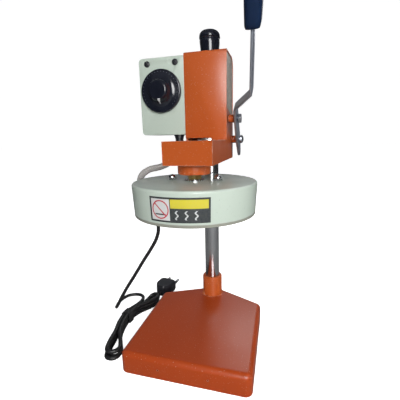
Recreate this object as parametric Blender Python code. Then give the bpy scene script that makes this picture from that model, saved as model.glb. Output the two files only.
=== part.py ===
"""Bench hot press for setting badges and patches: round heated platen, hand lever, column and base.

Lengths are in millimetres in this script and are turned into metres when a mesh is made.
The origin is on the floor below the column's axis. +X is the lever's side, -Y the operator's side, +Z up.
"""
import math

import bmesh
import bpy
from mathutils import Vector

# ---------------------------------------------------------------- driving dimensions (mm)
MM = 0.001                      # metres in a millimetre
GAP = 0.3                       # clearance between neighbouring pieces

FOOT_HEIGHT = 3.0               # rubber foot, floor to bottom plate
FOOT_RADIUS = 8.0
FOOT_STAND = 1.5                # how far the feet hold the base shell off the floor
FOOT_FROM_FRONT = 17.0          # feet, behind the base's front and in front of its side corners
FOOT_FROM_CORNER = 12.0
BASE_HALF_WIDTH = 79.4
BASE_FRONT_Y = -162.0
BASE_SIDE_END_Y = -17.0         # where the straight sides turn towards the nose
BASE_TOP_Z = 28.9
BASE_CORNER_RADIUS = 9.0
BASE_TOP_FILLET = 6.5
BASE_WALL = 2.5
BASE_ROOF = 4.0
BASE_PLATE_THICKNESS = 2.0
FRONT_HOLE_X = 30.0             # two small holes in the base's front wall
FRONT_HOLE_RADIUS = 1.1

COLUMN_RADIUS = 11.0
COLUMN_TOP_Z = 274.0
COLLAR_WALL = 4.0
COLLAR_RADIUS = COLUMN_RADIUS + GAP + COLLAR_WALL
BASE_NOSE_MARGIN = 3.2          # from the collar to the rounded nose of the base behind it
BASE_NOSE_RADIUS = COLLAR_RADIUS + BASE_NOSE_MARGIN
COLLAR_TOP_Z = 60.8
COLLAR_CHAMFER = 2.0
SET_SCREW_RADIUS = 3.0
SET_SCREW_DROP = 11.0           # set screw below the collar's top

HEAD_HALF_WIDTH = 29.0
HEAD_WALL = 3.0
HEAD_REAR_Y = 23.8
ARM_BOTTOM_Z = 248.3
ARM_TOP_Z = 275.3
TOWER_FRONT_Y = -31.4
TOWER_TOP_Z = 390.0
TOWER_SHEET = 2.0
TOWER_REAR_RADIUS = 14.0        # bend of the cover from its top to its rear
PANEL_FRONT_Z = 317.5           # border between side plate and side panel, at the front
PANEL_REAR_Z = 309.0            # the same border at the rear
PANEL_INSET = 0.8
PANEL_THICKNESS = 2.0
SLOT_HEIGHT = 3.0               # slot along the foot of the tower's front
SLOT_END_X = 7.5

PLATEN_RADIUS = 75.0
PLATEN_TAPER = 1.8              # the cover narrows by this to its open foot
PLATEN_FOOT_RADIUS = PLATEN_RADIUS - PLATEN_TAPER
PLATEN_REAR_GAP = 5.4           # between the platen and the column behind it
PLATEN_Y = -(COLUMN_RADIUS + PLATEN_REAR_GAP + PLATEN_RADIUS)
ARM_OVERHANG = 29.4             # of the arm, beyond the middle of the platen
ARM_FRONT_Y = PLATEN_Y - ARM_OVERHANG
PLATEN_BOTTOM_Z = 190.3
PLATEN_TOP_Z = 228.2
PLATEN_SHEET = 1.5
HOT_PLATE_LIFT = 2.4            # heater plate set back above the cover's rim
HOT_PLATE_THICKNESS = 11.0
HOT_PLATE_MARGIN = 1.0
ELEMENT_RADIUS = 46.0
ELEMENT_HALF_WIDTH = 4.0
INSULATION_THICKNESS = 10.0
STUD_X = 28.8
STUD_RADIUS = 3.0
DOME_NUT_RADIUS = 5.8
HUB_NUT_RADIUS = 8.8
HUB_WASHER_RADIUS = 12.4
HUB_WASHER_THICKNESS = 1.4
LABEL_FROM_DEG = -21.8
LABEL_TO_DEG = 28.0
LABEL_BOTTOM_Z = 196.0
LABEL_TOP_Z = 222.0
LABEL_THICKNESS = 0.5

GUIDE_RADIUS = 20.0             # boss under the arm that guides the plunger
GUIDE_BOTTOM_Z = 236.3
GUIDE_POCKET_RADIUS = 14.0
GUIDE_POCKET_Z = 244.6
PLUNGER_RADIUS = 6.0
PLUNGER_SHOULDER_Z = 262.0
PLUNGER_NECK_RADIUS = 3.2
PLUNGER_NECK_HEIGHT = 6.0
PLUNGER_HEAD_HEIGHT = 3.6
BUSH_WALL = 2.4

LEVER_Y = -14.0                 # lever shaft
LEVER_Z = 304.0
LEVER_LEAN_DEG = 32.0           # the handle leans forward by this from vertical
SHAFT_RADIUS = 4.0
BAR_WIDTH = 25.0
BAR_THICKNESS = 3.5
BAR_CLEARANCE = 8.8             # from the head's side to the bar's inner face
BAR_SPLAY = 0.057               # slope of the handle outward, above the joggle
BAR_OFFSET_X = 21.7             # how far the joggle carries the bar outward
JOGGLE_START = 17.0             # along the bar, from the shaft
JOGGLE_END = 36.0
BAR_END = 196.0
# The bar's pointed foot: along the bar from the shaft, and its front and rear edge there.
BAR_TAIL = [
    (-62.0, 1.0, 5.0), (-60.5, -1.6, 7.4), (-57.0, -3.6, 9.6), (-44.0, -7.6, 13.6), (-30.0, -11.2, 14.4),
]
GRIP_START = 110.0
GRIP_END = 210.0
GRIP_WIDTH = 32.0
GRIP_THICKNESS = 17.5
GRIP_SWELL = 2.2
SPACER_RADIUS = 5.5
GUIDE_BOLT_Y = 12.0             # lower bolt of the bar
GUIDE_BOLT_Z = 276.0
BOLT_HEAD_HEIGHT = 4.8
BOLT_HEAD_RADIUS = 6.7

CAM_THROW = 8.0                 # cam nose from the shaft's axis
CAM_DIP_DEG = 30.0              # nose points forward and this much down, at rest
CAM_NOSE_RADIUS = 4.5
CAM_HUB_RADIUS = 6.5
CAM_HALF_WIDTH = 7.0

FULCRUM_Z = 285.0
FULCRUM_PIN_RADIUS = 3.5
ROCKER_EYE_RADIUS = 7.0
ROCKER_HALF_WIDTH = 6.0
FORK_AHEAD = 2.8                # centre of the fork's round ends, before the plunger's axis
FORK_Y = PLATEN_Y - FORK_AHEAD
FORK_Z = 265.0
FORK_END_RADIUS = 2.7
FORK_SLOT_HALF_WIDTH = 10.0     # slot in the arm's floor, below the fork
FORK_SLOT_LENGTH = 33.0
FORK_HALF_GAP = 3.8
BLOCK_HALF_DEPTH = 6.0
BLOCK_WALL = 3.6
CLAMP_HALF_WIDTH = 18.0         # block in the arm that grips the column
CLAMP_HEIGHT = 18.0
CLAMP_FRONT_WALL = 4.0
SPINDLE_RADIUS = 4.0
SPINDLE_BOTTOM_Z = 295.5
KNOB_RADIUS = 14.6
KNOB_FOOT_RADIUS = 12.4
KNOB_HEIGHT = 32.0
SPRING_X = -17.0
SPRING_Y = -23.5
SPRING_RADIUS = 3.2
SPRING_WIRE = 0.6
SPRING_TURNS = 16
SPRING_STUD_Z = 280.0
SPRING_TOP_Z = 366.0

BOX_WIDTH = 64.7
BOX_RIGHT_X = -(HEAD_HALF_WIDTH + GAP)
BOX_LEFT_X = BOX_RIGHT_X - BOX_WIDTH
BOX_BOTTOM_Z = 284.0
BOX_TOP_Z = 386.5
BOX_REAR_Y = 18.0
BOX_SHEET = 1.5
BOX_CORNER_RADIUS = 5.0
BOX_SCREW_X = (BOX_LEFT_X + 12.5, BOX_RIGHT_X - 11.7)
BOX_SCREW_DROP = 7.7            # box screws below the box's top
BOX_SCREW_Z = BOX_TOP_Z - BOX_SCREW_DROP
BOX_SCREW_RADIUS = 4.2
DIAL_FROM_LEFT = 32.5
DIAL_X = BOX_LEFT_X + DIAL_FROM_LEFT
DIAL_Z = 342.5
DIAL_RADIUS = 28.6
DIAL_SKIRT = 5.0
DIAL_GRIP_RADIUS = 14.5
DIAL_HEIGHT = 17.0
THERMOSTAT_SIZE = (36.0, 34.0, 40.0)

GLAND_FROM_RIGHT = 12.7
GLAND_X = BOX_RIGHT_X - GLAND_FROM_RIGHT
GLAND_Y = -20.0
GLAND_LENGTH = 10.0
SLEEVE_RADIUS = 4.4
CORD_RADIUS = 2.75
HANK_SIDES = [(0.0, 8.0), (12.0, 11.3), (22.0, 10.4), (40.0, 7.0), (115.0, 7.0), (141.0, 11.3)]
HANK_LIFT = 0.2                 # clear of the floor
HANK_HEIGHT = 17.2
PLUG_AT = (-96.7, 27.7)         # plug on the floor, by the end of the hank
PLUG_TURN_DEG = -9.5
PLUG_LENGTH = 34.0
PLUG_WIDTH = 31.0
PLUG_HEIGHT = 20.0
PIN_SPACING = 19.0
PIN_RADIUS = 2.4
PIN_LENGTH = 19.0

# The sleeved part of the cord: out of the gland, back round the platen and down.
SLEEVE_ROUTE = [
    (GLAND_X, GLAND_Y, 273.4), (GLAND_X, GLAND_Y, 262.5), (-47.5, -27.5, 249.5), (-61.0, -45.0, 240.5),
    (-75.0, -58.0, 237.0), (-86.0, -61.0, 228.0), (-91.0, -57.0, 212.0), (-89.0, -50.0, 197.0),
    (-84.5, -43.5, 182.0),
]
# The bare cord: down to the floor, a loose bow on the floor, then up to the end of the hank.
CORD_ROUTE = [
    (-84.4, -43.3, 181.7), (-78.5, -37.0, 163.0), (-76.0, -34.5, 145.0), (-80.0, -35.0, 128.0),
    (-90.0, -37.0, 110.0), (-103.5, -39.5, 89.0), (-117.5, -43.0, 66.0), (-131.0, -47.0, 44.5),
    (-141.0, -51.0, 26.0), (-149.0, -50.0, 12.0), (-156.0, -42.0, 4.2), (-160.0, -29.0, 3.0),
    (-160.0, -15.5, 3.0), (-153.6, -2.4, 3.0), (-140.0, 3.5, 3.2), (-127.5, -2.5, 5.2),
    (-118.0, -20.5, 10.5),
]
# The middle line of the hank on the floor, from the plug's end to the far end. HANK_SIDES gives its
# half width along that line: wide at the folds of the cord, and drawn in by the tie between them.
HANK_ROUTE = [(-101.0, 2.0), (-105.0, -22.0), (-121.0, -62.0), (-117.0, -98.0), (-99.0, -146.0)]


# ---------------------------------------------------------------- materials
def make_material(name, colour, roughness, metallic):
    material = bpy.data.materials.new(name)
    material.use_nodes = True
    shader = material.node_tree.nodes["Principled BSDF"]
    shader.inputs["Base Color"].default_value = (*colour, 1.0)
    shader.inputs["Roughness"].default_value = roughness
    shader.inputs["Metallic"].default_value = metallic
    return material


# ---------------------------------------------------------------- making meshes
def place_object(name, shape, material, smooth=False, origin=(0.0, 0.0, 0.0)):
    """Turn a bmesh in millimetres into a named object in metres, with its origin at a given point."""
    at = Vector(origin)
    for vertex in shape.verts:
        vertex.co = (vertex.co - at) * MM
    bmesh.ops.recalc_face_normals(shape, faces=shape.faces)
    mesh = bpy.data.meshes.new(name)
    shape.to_mesh(mesh)
    shape.free()
    if smooth:
        mesh.shade_smooth()
        mesh.set_sharp_from_angle(angle=math.radians(35.0))
    item = bpy.data.objects.new(name, mesh)
    item.location = at * MM
    if material:
        mesh.materials.append(material)
    bpy.context.scene.collection.objects.link(item)
    return item


def to_axis(point, axis):
    """A point given as (across, up, along) is laid so that 'along' runs on the named axis."""
    across, up, along = point
    return {"X": (along, across, up), "Y": (across, along, up), "Z": (across, up, along)}[axis]


def prism(name, outline, low, high, axis, material, origin=(0.0, 0.0, 0.0), smooth=False):
    """Extrude a flat outline between two stations on an axis."""
    shape = bmesh.new()
    first = [shape.verts.new(to_axis((u, v, low), axis)) for u, v in outline]
    last = [shape.verts.new(to_axis((u, v, high), axis)) for u, v in outline]
    shape.faces.new(first)
    shape.faces.new(last)
    count = len(outline)
    for i in range(count):
        j = (i + 1) % count
        shape.faces.new((first[i], first[j], last[j], last[i]))
    return place_object(name, shape, material, smooth, origin)


def block(name, low, high, material, origin=(0.0, 0.0, 0.0)):
    outline = [(low[0], low[1]), (high[0], low[1]), (high[0], high[1]), (low[0], high[1])]
    return prism(name, outline, low[2], high[2], "Z", material, origin)


def turned(name, profile, centre, axis, material, sides=24, origin=(0.0, 0.0, 0.0)):
    """Spin a closed profile of (radius, station) points about an axis through centre (across, up)."""
    shape = bmesh.new()
    rings = []
    for radius, station in profile:
        if radius < 1e-6:
            rings.append([shape.verts.new(to_axis((centre[0], centre[1], station), axis))])
            continue
        ring = []
        for i in range(sides):
            turn = 2.0 * math.pi * (i + 0.5) / sides
            across = centre[0] + radius * math.cos(turn)
            up = centre[1] + radius * math.sin(turn)
            ring.append(shape.verts.new(to_axis((across, up, station), axis)))
        rings.append(ring)
    solid = len(rings[0]) == 1
    pairs = len(rings) - 1 if solid else len(rings)
    for i in range(pairs):
        a, b = rings[i], rings[(i + 1) % len(rings)]
        for k in range(sides):
            n = (k + 1) % sides
            if len(a) == 1 and len(b) == 1:
                continue
            if len(a) == 1:
                shape.faces.new((a[0], b[k], b[n]))
            elif len(b) == 1:
                shape.faces.new((a[k], a[n], b[0]))
            else:
                shape.faces.new((a[k], a[n], b[n], b[k]))
    return place_object(name, shape, material, True, origin)


def rod_profile(radius, low, high, chamfer=0.0):
    """Profile of a solid round bar, from its axis out and back."""
    if chamfer <= 0.0:
        return [(0.0, low), (radius, low), (radius, high), (0.0, high)]
    return [
        (0.0, low), (radius - chamfer, low), (radius, low + chamfer),
        (radius, high - chamfer), (radius - chamfer, high), (0.0, high),
    ]


def tube_profile(inner, outer, low, high):
    return [(inner, low), (outer, low), (outer, high), (inner, high)]


def hexagon(centre, radius):
    return [
        (centre[0] + radius * math.cos(math.pi * i / 3.0), centre[1] + radius * math.sin(math.pi * i / 3.0))
        for i in range(6)
    ]


def cut(target, *cutters):
    """Take cutters away from a piece with exact booleans; the cutters stay as hidden guides."""
    for cutter in cutters:
        cutter.hide_render = True
        cutter.display_type = "WIRE"
        step = target.modifiers.new("cut " + cutter.name, "BOOLEAN")
        step.operation = "DIFFERENCE"
        step.solver = "EXACT"
        step.object = cutter


def join(target, *others):
    """Melt guide solids into a piece with exact booleans."""
    for other in others:
        other.hide_render = True
        other.display_type = "WIRE"
        step = target.modifiers.new("join " + other.name, "BOOLEAN")
        step.operation = "UNION"
        step.solver = "EXACT"
        step.object = other


def drill(target, centre, radius, low, high, axis, sides=24):
    """Cut a round hole whose faces line up with those of a turned piece of the same sides."""
    name = f"{target.name} hole {len(target.modifiers) + 1}"
    cut(target, turned(name, rod_profile(radius, low, high), centre, axis, None, sides))


# ---------------------------------------------------------------- outlines
def arc_points(centre, radius, start_deg, end_deg, steps):
    """Points on an arc, both ends included."""
    points = []
    for i in range(steps + 1):
        turn = math.radians(start_deg + (end_deg - start_deg) * i / steps)
        points.append((centre[0] + radius * math.cos(turn), centre[1] + radius * math.sin(turn)))
    return points


def round_corners(corners, radii, steps=5):
    """Replace each corner of a polygon by an arc of its radius."""
    rounded = []
    count = len(corners)
    for i, (corner, radius) in enumerate(zip(corners, radii)):
        here = Vector(corner)
        before = (Vector(corners[i - 1]) - here).normalized()
        after = (Vector(corners[(i + 1) % count]) - here).normalized()
        if radius <= 0.0:
            rounded.append(tuple(here))
            continue
        half = before.angle(after) / 2.0
        middle = here + (before + after).normalized() * (radius / math.sin(half))
        first = here + before * (radius / math.tan(half)) - middle
        last = here + after * (radius / math.tan(half)) - middle
        start = math.atan2(first.y, first.x)
        sweep = (math.atan2(last.y, last.x) - start + math.pi) % (2.0 * math.pi) - math.pi
        for k in range(steps + 1):
            turn = start + sweep * k / steps
            rounded.append((middle.x + radius * math.cos(turn), middle.y + radius * math.sin(turn)))
    return rounded


def base_outline(inset):
    """Home-plate outline of the base, moved inward by inset; the nose is centred on the column."""
    width = BASE_HALF_WIDTH - inset
    nose = BASE_NOSE_RADIUS - inset
    # The rear edges touch the nose circle; their slope comes from the full outline.
    reach = math.hypot(BASE_HALF_WIDTH, BASE_SIDE_END_Y)
    touch = math.atan2(BASE_SIDE_END_Y, BASE_HALF_WIDTH) + math.acos(BASE_NOSE_RADIUS / reach)
    side_y = (nose - width * math.cos(touch)) / math.sin(touch)
    front_y = BASE_FRONT_Y + inset
    corner = max(BASE_CORNER_RADIUS - inset, 1.0)
    edge = (nose * math.cos(touch), nose * math.sin(touch))
    corners = [(0.0, front_y), (width, front_y), (width, side_y), edge]
    right = round_corners(corners, [0.0, corner, corner, 0.0])[1:-1]
    nose_arc = arc_points((0.0, 0.0), nose, math.degrees(touch), 180.0 - math.degrees(touch), 8)
    left = [(-x, y) for x, y in reversed(right)]
    return right + nose_arc + left


# ---------------------------------------------------------------- base and column
def build_base(paint, steel, rubber):
    shell = prism("base_shell", base_outline(0.0), FOOT_STAND, BASE_TOP_Z, "Z", paint)
    mesh = shell.data
    shape = bmesh.new()
    shape.from_mesh(mesh)
    rim = [e for e in shape.edges if all(abs(v.co.z - BASE_TOP_Z * MM) < 1e-6 for v in e.verts)]
    bmesh.ops.bevel(shape, geom=rim, offset=BASE_TOP_FILLET * MM, segments=4, profile=0.5, affect="EDGES")
    shape.to_mesh(mesh)
    shape.free()
    cavity = prism("base cavity", base_outline(BASE_WALL), 0.0, BASE_TOP_Z - BASE_ROOF, "Z", None)
    cut(shell, cavity)
    drill(shell, (0.0, 0.0), COLLAR_RADIUS + GAP, FOOT_STAND + 5.0, BASE_TOP_Z + 2.0, "Z", 32)
    for side in (-1.0, 1.0):
        hole_z = (FOOT_STAND + BASE_TOP_Z) / 2.0 - 1.0
        front = BASE_FRONT_Y - 1.0
        hole = (side * FRONT_HOLE_X, hole_z)
        drill(shell, hole, FRONT_HOLE_RADIUS, front, front + BASE_WALL + 2.0, "Y", 8)

    plate_z = FOOT_HEIGHT + GAP
    plate_outline = base_outline(BASE_WALL + GAP)
    prism("base_bottom_plate", plate_outline, plate_z, plate_z + BASE_PLATE_THICKNESS, "Z", steel)

    foot_x = BASE_HALF_WIDTH - 17.0
    places = [(0.0, 0.0)]
    foot_rows = (BASE_FRONT_Y + FOOT_FROM_FRONT, BASE_SIDE_END_Y - FOOT_FROM_CORNER)
    places += [(side * foot_x, y) for y in foot_rows for side in (-1.0, 1.0)]
    for number, place in enumerate(places, 1):
        profile = rod_profile(FOOT_RADIUS, 0.0, FOOT_HEIGHT, 0.6)
        turned(f"rubber_foot_{number}", profile, place, "Z", rubber, 20)


def build_column(paint, chrome, steel):
    seat_z = FOOT_HEIGHT + GAP + BASE_PLATE_THICKNESS + GAP
    bore = COLUMN_RADIUS + GAP
    profile = [
        (bore, seat_z), (COLLAR_RADIUS, seat_z), (COLLAR_RADIUS, COLLAR_TOP_Z - COLLAR_CHAMFER),
        (COLLAR_RADIUS - COLLAR_CHAMFER, COLLAR_TOP_Z), (bore, COLLAR_TOP_Z),
    ]
    collar = turned("column_collar", profile, (0.0, 0.0), "Z", paint, 32)
    screw_z = COLLAR_TOP_Z - SET_SCREW_DROP
    drill(collar, (0.0, screw_z), SET_SCREW_RADIUS + GAP, COLUMN_RADIUS, COLLAR_RADIUS + 2.0, "Y", 12)
    screw = rod_profile(SET_SCREW_RADIUS, COLUMN_RADIUS + GAP, COLLAR_RADIUS + 0.4, 0.4)
    turned("collar_set_screw", screw, (0.0, screw_z), "Y", steel, 12)
    turned("column", rod_profile(COLUMN_RADIUS, seat_z, COLUMN_TOP_Z, 1.0), (0.0, 0.0), "Z", chrome, 32)


# ---------------------------------------------------------------- head: frame, cover, panels
def border_z(y):
    """Height of the border between side plate and side panel."""
    front = TOWER_FRONT_Y + TOWER_SHEET + GAP
    rear = HEAD_REAR_Y - TOWER_SHEET - GAP
    return PANEL_FRONT_Z + (PANEL_REAR_Z - PANEL_FRONT_Z) * (y - front) / (rear - front)


def build_head_frame(paint, steel):
    front = TOWER_FRONT_Y + TOWER_SHEET + GAP
    rear = HEAD_REAR_Y - TOWER_SHEET - GAP
    side = [
        (ARM_FRONT_Y, ARM_BOTTOM_Z), (HEAD_REAR_Y, ARM_BOTTOM_Z), (HEAD_REAR_Y, ARM_TOP_Z),
        (rear, ARM_TOP_Z), (rear, border_z(rear)), (front, border_z(front)), (front, ARM_TOP_Z),
        (ARM_FRONT_Y, ARM_TOP_Z),
    ]
    half = HEAD_HALF_WIDTH
    frame = prism("head_frame", side, -half, half, "X", paint)
    inner = half - HEAD_WALL
    arm_room = block(
        "arm room", (-inner, ARM_FRONT_Y + HEAD_WALL, ARM_BOTTOM_Z + HEAD_WALL),
        (inner, HEAD_REAR_Y - HEAD_WALL, ARM_TOP_Z - HEAD_WALL), None,
    )
    tower_room = block(
        "tower room", (-inner, front, ARM_BOTTOM_Z + HEAD_WALL + 2.0),
        (inner, HEAD_REAR_Y - HEAD_WALL, PANEL_FRONT_Z + 5.0), None,
    )
    cut(frame, arm_room, tower_room)
    # Above the arm the tower is open at the rear, where the cover closes it.
    above = block(
        "tower rear room", (-inner, 0.0, ARM_TOP_Z), (inner, HEAD_REAR_Y + 5.0, PANEL_FRONT_Z + 5.0), None,
    )
    cut(frame, above)
    drill(frame, (0.0, 0.0), COLUMN_RADIUS + GAP, ARM_BOTTOM_Z - 2.0, ARM_BOTTOM_Z + 5.0, "Z", 32)
    drill(frame, (0.0, PLATEN_Y), GUIDE_POCKET_RADIUS, ARM_BOTTOM_Z - 2.0, ARM_BOTTOM_Z + 5.0, "Z", 24)
    slot_low = (-FORK_SLOT_HALF_WIDTH, PLATEN_Y, ARM_BOTTOM_Z - 2.0)
    slot_high = (FORK_SLOT_HALF_WIDTH, PLATEN_Y + FORK_SLOT_LENGTH, ARM_BOTTOM_Z + 5.0)
    cut(frame, block("fork slot", slot_low, slot_high, None))
    drill(frame, (LEVER_Y, LEVER_Z), SHAFT_RADIUS + GAP, -half - 2.0, half + 2.0, "X", 16)
    screw_z = (ARM_BOTTOM_Z + ARM_TOP_Z) / 2.0
    drill(frame, (0.0, screw_z), SHAFT_RADIUS + GAP, HEAD_REAR_Y - 6.0, HEAD_REAR_Y + 2.0, "Y", 16)

    # Clamp block that grips the column inside the arm, and its screw from the rear.
    low = ARM_BOTTOM_Z + HEAD_WALL + GAP
    high = low + CLAMP_HEIGHT
    block_front = -(COLUMN_RADIUS + CLAMP_FRONT_WALL)
    block_rear = HEAD_REAR_Y - HEAD_WALL - GAP
    wide = CLAMP_HALF_WIDTH
    clamp = block("clamp_block", (-wide, block_front, low), (wide, block_rear, high), steel)
    drill(clamp, (0.0, 0.0), COLUMN_RADIUS + GAP, low - 2.0, high + 2.0, "Z", 32)
    drill(clamp, (0.0, screw_z), SHAFT_RADIUS + GAP, 2.0, block_rear + 2.0, "Y", 16)
    screw = prism("clamp_screw", hexagon((0.0, screw_z), BOLT_HEAD_RADIUS), HEAD_REAR_Y + GAP,
                  HEAD_REAR_Y + GAP + 5.3, "Y", steel)
    shank = turned("clamp screw shank", rod_profile(SHAFT_RADIUS, COLUMN_RADIUS + GAP, HEAD_REAR_Y + 2.0),
                   (0.0, screw_z), "Y", None, 16)
    join(screw, shank)


def cover_strip_outline():
    """Side view of the tower cover: up the front, over the top, round the bend and down the rear."""
    foot = ARM_TOP_Z + GAP
    out_r = TOWER_REAR_RADIUS
    in_r = out_r - TOWER_SHEET
    bend = (HEAD_REAR_Y - out_r, TOWER_TOP_Z - out_r)
    front_r = 3.0
    front_bend = (TOWER_FRONT_Y + front_r, TOWER_TOP_Z - front_r)
    outer = [(TOWER_FRONT_Y, foot)]
    outer += arc_points(front_bend, front_r, 180.0, 90.0, 3)
    outer += arc_points(bend, out_r, 90.0, 0.0, 7)
    outer += [(HEAD_REAR_Y, foot), (HEAD_REAR_Y - TOWER_SHEET, foot)]
    inner = arc_points(bend, in_r, 0.0, 90.0, 7)
    inner += arc_points(front_bend, front_r - TOWER_SHEET, 90.0, 180.0, 3)
    inner += [(TOWER_FRONT_Y + TOWER_SHEET, foot)]
    return outer + inner


def build_tower(paint, hammered):
    half = HEAD_HALF_WIDTH
    cover = prism("tower_cover", cover_strip_outline(), -half, half, "X", paint)
    foot = ARM_TOP_Z + GAP
    slot_outline = [(-half - 5.0, foot - 5.0), (SLOT_END_X, foot - 5.0), (SLOT_END_X, foot)]
    end = (SLOT_END_X, foot + SLOT_HEIGHT / 2.0)
    slot_outline += arc_points(end, SLOT_HEIGHT / 2.0, -90.0, 90.0, 4) + [(-half - 5.0, foot + SLOT_HEIGHT)]
    slot_back = TOWER_FRONT_Y + TOWER_SHEET + 2.0
    cut(cover, prism("foot slot", slot_outline, TOWER_FRONT_Y - 2.0, slot_back, "Y", None))
    drill(cover, (0.0, 0.0), SPINDLE_RADIUS + GAP, TOWER_TOP_Z - 5.0, TOWER_TOP_Z + 2.0, "Z", 16)

    front = TOWER_FRONT_Y + TOWER_SHEET + GAP
    rear = HEAD_REAR_Y - TOWER_SHEET - GAP
    top = TOWER_TOP_Z - TOWER_SHEET - GAP
    bend_r = TOWER_REAR_RADIUS - TOWER_SHEET - GAP
    outline = [(front, border_z(front) + GAP), (rear, border_z(rear) + GAP)]
    outline += arc_points((rear - bend_r, top - bend_r), bend_r, 0.0, 90.0, 7)
    outline += [(front + 1.0, top), (front, top - 1.0)]
    outer = half - PANEL_INSET
    for name, side in (("side_panel_left", -1.0), ("side_panel_right", 1.0)):
        low, high = sorted((side * outer, side * (outer - PANEL_THICKNESS)))
        prism(name, outline, low, high, "X", hammered)


# ---------------------------------------------------------------- platen and plunger
def build_platen(mint, aluminium, brass, steel, ceramic, label_film):
    at = (0.0, PLATEN_Y)
    inner_top = PLATEN_TOP_Z - PLATEN_SHEET
    inner_foot = PLATEN_FOOT_RADIUS - PLATEN_SHEET
    profile = [
        (PLUNGER_RADIUS + GAP, inner_top), (PLATEN_RADIUS - PLATEN_SHEET - 1.0, inner_top),
        (PLATEN_RADIUS - PLATEN_SHEET, inner_top - 1.0), (inner_foot, PLATEN_BOTTOM_Z),
        (PLATEN_FOOT_RADIUS, PLATEN_BOTTOM_Z), (PLATEN_RADIUS, PLATEN_TOP_Z - 2.4),
        (PLATEN_RADIUS - 0.7, PLATEN_TOP_Z - 0.7), (PLATEN_RADIUS - 2.4, PLATEN_TOP_Z),
        (PLUNGER_RADIUS + GAP, PLATEN_TOP_Z),
    ]
    cover = turned("platen_cover", profile, at, "Z", mint, 64)
    for side in (-1.0, 1.0):
        centre = (side * STUD_X, PLATEN_Y)
        drill(cover, centre, STUD_RADIUS + GAP, PLATEN_TOP_Z - 4.0, PLATEN_TOP_Z + 2.0, "Z", 12)

    plate_low = PLATEN_BOTTOM_Z + HOT_PLATE_LIFT
    plate_top = plate_low + HOT_PLATE_THICKNESS
    plate_radius = inner_foot - HOT_PLATE_MARGIN
    turned("heater_plate", rod_profile(plate_radius, plate_low, plate_top, 0.8), at, "Z", aluminium, 48)
    ring_low = plate_top + GAP
    ring_top = ring_low + 2.0 * ELEMENT_HALF_WIDTH
    half = ELEMENT_HALF_WIDTH
    ring = tube_profile(ELEMENT_RADIUS - half, ELEMENT_RADIUS + half, ring_low, ring_top)
    turned("heater_element", ring, at, "Z", steel, 32)
    pad_low = ring_top + GAP
    pad = tube_profile(PLUNGER_RADIUS + GAP, plate_radius - 2.0, pad_low, pad_low + INSULATION_THICKNESS)
    insulation = turned("insulation_disc", pad, at, "Z", ceramic, 32)

    for number, side in ((1, -1.0), (2, 1.0)):
        centre = (side * STUD_X, PLATEN_Y)
        pad_top = pad_low + INSULATION_THICKNESS
        drill(insulation, centre, STUD_RADIUS + GAP, pad_low - 1.0, pad_top + 1.0, "Z", 12)
        nut_low = PLATEN_TOP_Z + GAP
        stud_top = nut_low + 4.0
        stud = rod_profile(STUD_RADIUS, plate_top + GAP, stud_top)
        turned(f"platen_stud_{number}", stud, centre, "Z", steel, 12)
        bore = STUD_RADIUS + GAP
        dome = [
            (0.0, stud_top + GAP), (bore, stud_top + GAP), (bore, nut_low), (DOME_NUT_RADIUS, nut_low),
            (DOME_NUT_RADIUS, nut_low + 3.4), (DOME_NUT_RADIUS - 1.2, nut_low + 4.6),
            (DOME_NUT_RADIUS - 2.4, nut_low + 6.4), (0.0, nut_low + 7.2),
        ]
        turned(f"platen_nut_{number}", dome, centre, "Z", steel, 12)

    washer_low = PLATEN_TOP_Z + GAP
    washer_top = washer_low + HUB_WASHER_THICKNESS
    washer = tube_profile(PLUNGER_RADIUS + GAP, HUB_WASHER_RADIUS, washer_low, washer_top)
    turned("hub_washer", washer, at, "Z", steel, 24)
    nut = prism("hub_nut", hexagon(at, HUB_NUT_RADIUS), washer_top + GAP, GUIDE_BOTTOM_Z - 0.6, "Z", brass)
    drill(nut, at, PLUNGER_RADIUS + GAP, washer_top - 2.0, GUIDE_BOTTOM_Z + 2.0, "Z", 24)

    neck_top = PLUNGER_SHOULDER_Z + PLUNGER_NECK_HEIGHT
    plunger = [
        (0.0, plate_top + GAP), (PLUNGER_RADIUS, plate_top + GAP), (PLUNGER_RADIUS, PLUNGER_SHOULDER_Z),
        (PLUNGER_NECK_RADIUS, PLUNGER_SHOULDER_Z), (PLUNGER_NECK_RADIUS, neck_top),
        (PLUNGER_RADIUS, neck_top), (PLUNGER_RADIUS, neck_top + PLUNGER_HEAD_HEIGHT),
        (0.0, neck_top + PLUNGER_HEAD_HEIGHT),
    ]
    turned("plunger", plunger, at, "Z", steel, 24)
    build_label(label_film)


def platen_radius_at(z):
    """Outside radius of the platen cover's wall at a height."""
    share = (z - PLATEN_BOTTOM_Z) / (PLATEN_TOP_Z - 2.4 - PLATEN_BOTTOM_Z)
    return PLATEN_FOOT_RADIUS + (PLATEN_RADIUS - PLATEN_FOOT_RADIUS) * share


def build_label(film):
    shape = bmesh.new()
    steps = 14
    columns = []
    for i in range(steps + 1):
        turn = math.radians(LABEL_FROM_DEG + (LABEL_TO_DEG - LABEL_FROM_DEG) * i / steps)
        column = []
        for lift, z in ((0.0, LABEL_BOTTOM_Z), (LABEL_THICKNESS, LABEL_BOTTOM_Z),
                        (LABEL_THICKNESS, LABEL_TOP_Z), (0.0, LABEL_TOP_Z)):
            radius = platen_radius_at(z) + GAP + lift
            column.append(shape.verts.new((radius * math.sin(turn), PLATEN_Y - radius * math.cos(turn), z)))
        columns.append(column)
    shape.faces.new(columns[0])
    shape.faces.new(columns[-1])
    for a, b in zip(columns, columns[1:]):
        for k in range(4):
            n = (k + 1) % 4
            shape.faces.new((a[k], a[n], b[n], b[k]))
    place_object("platen_label", shape, film)


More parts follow.
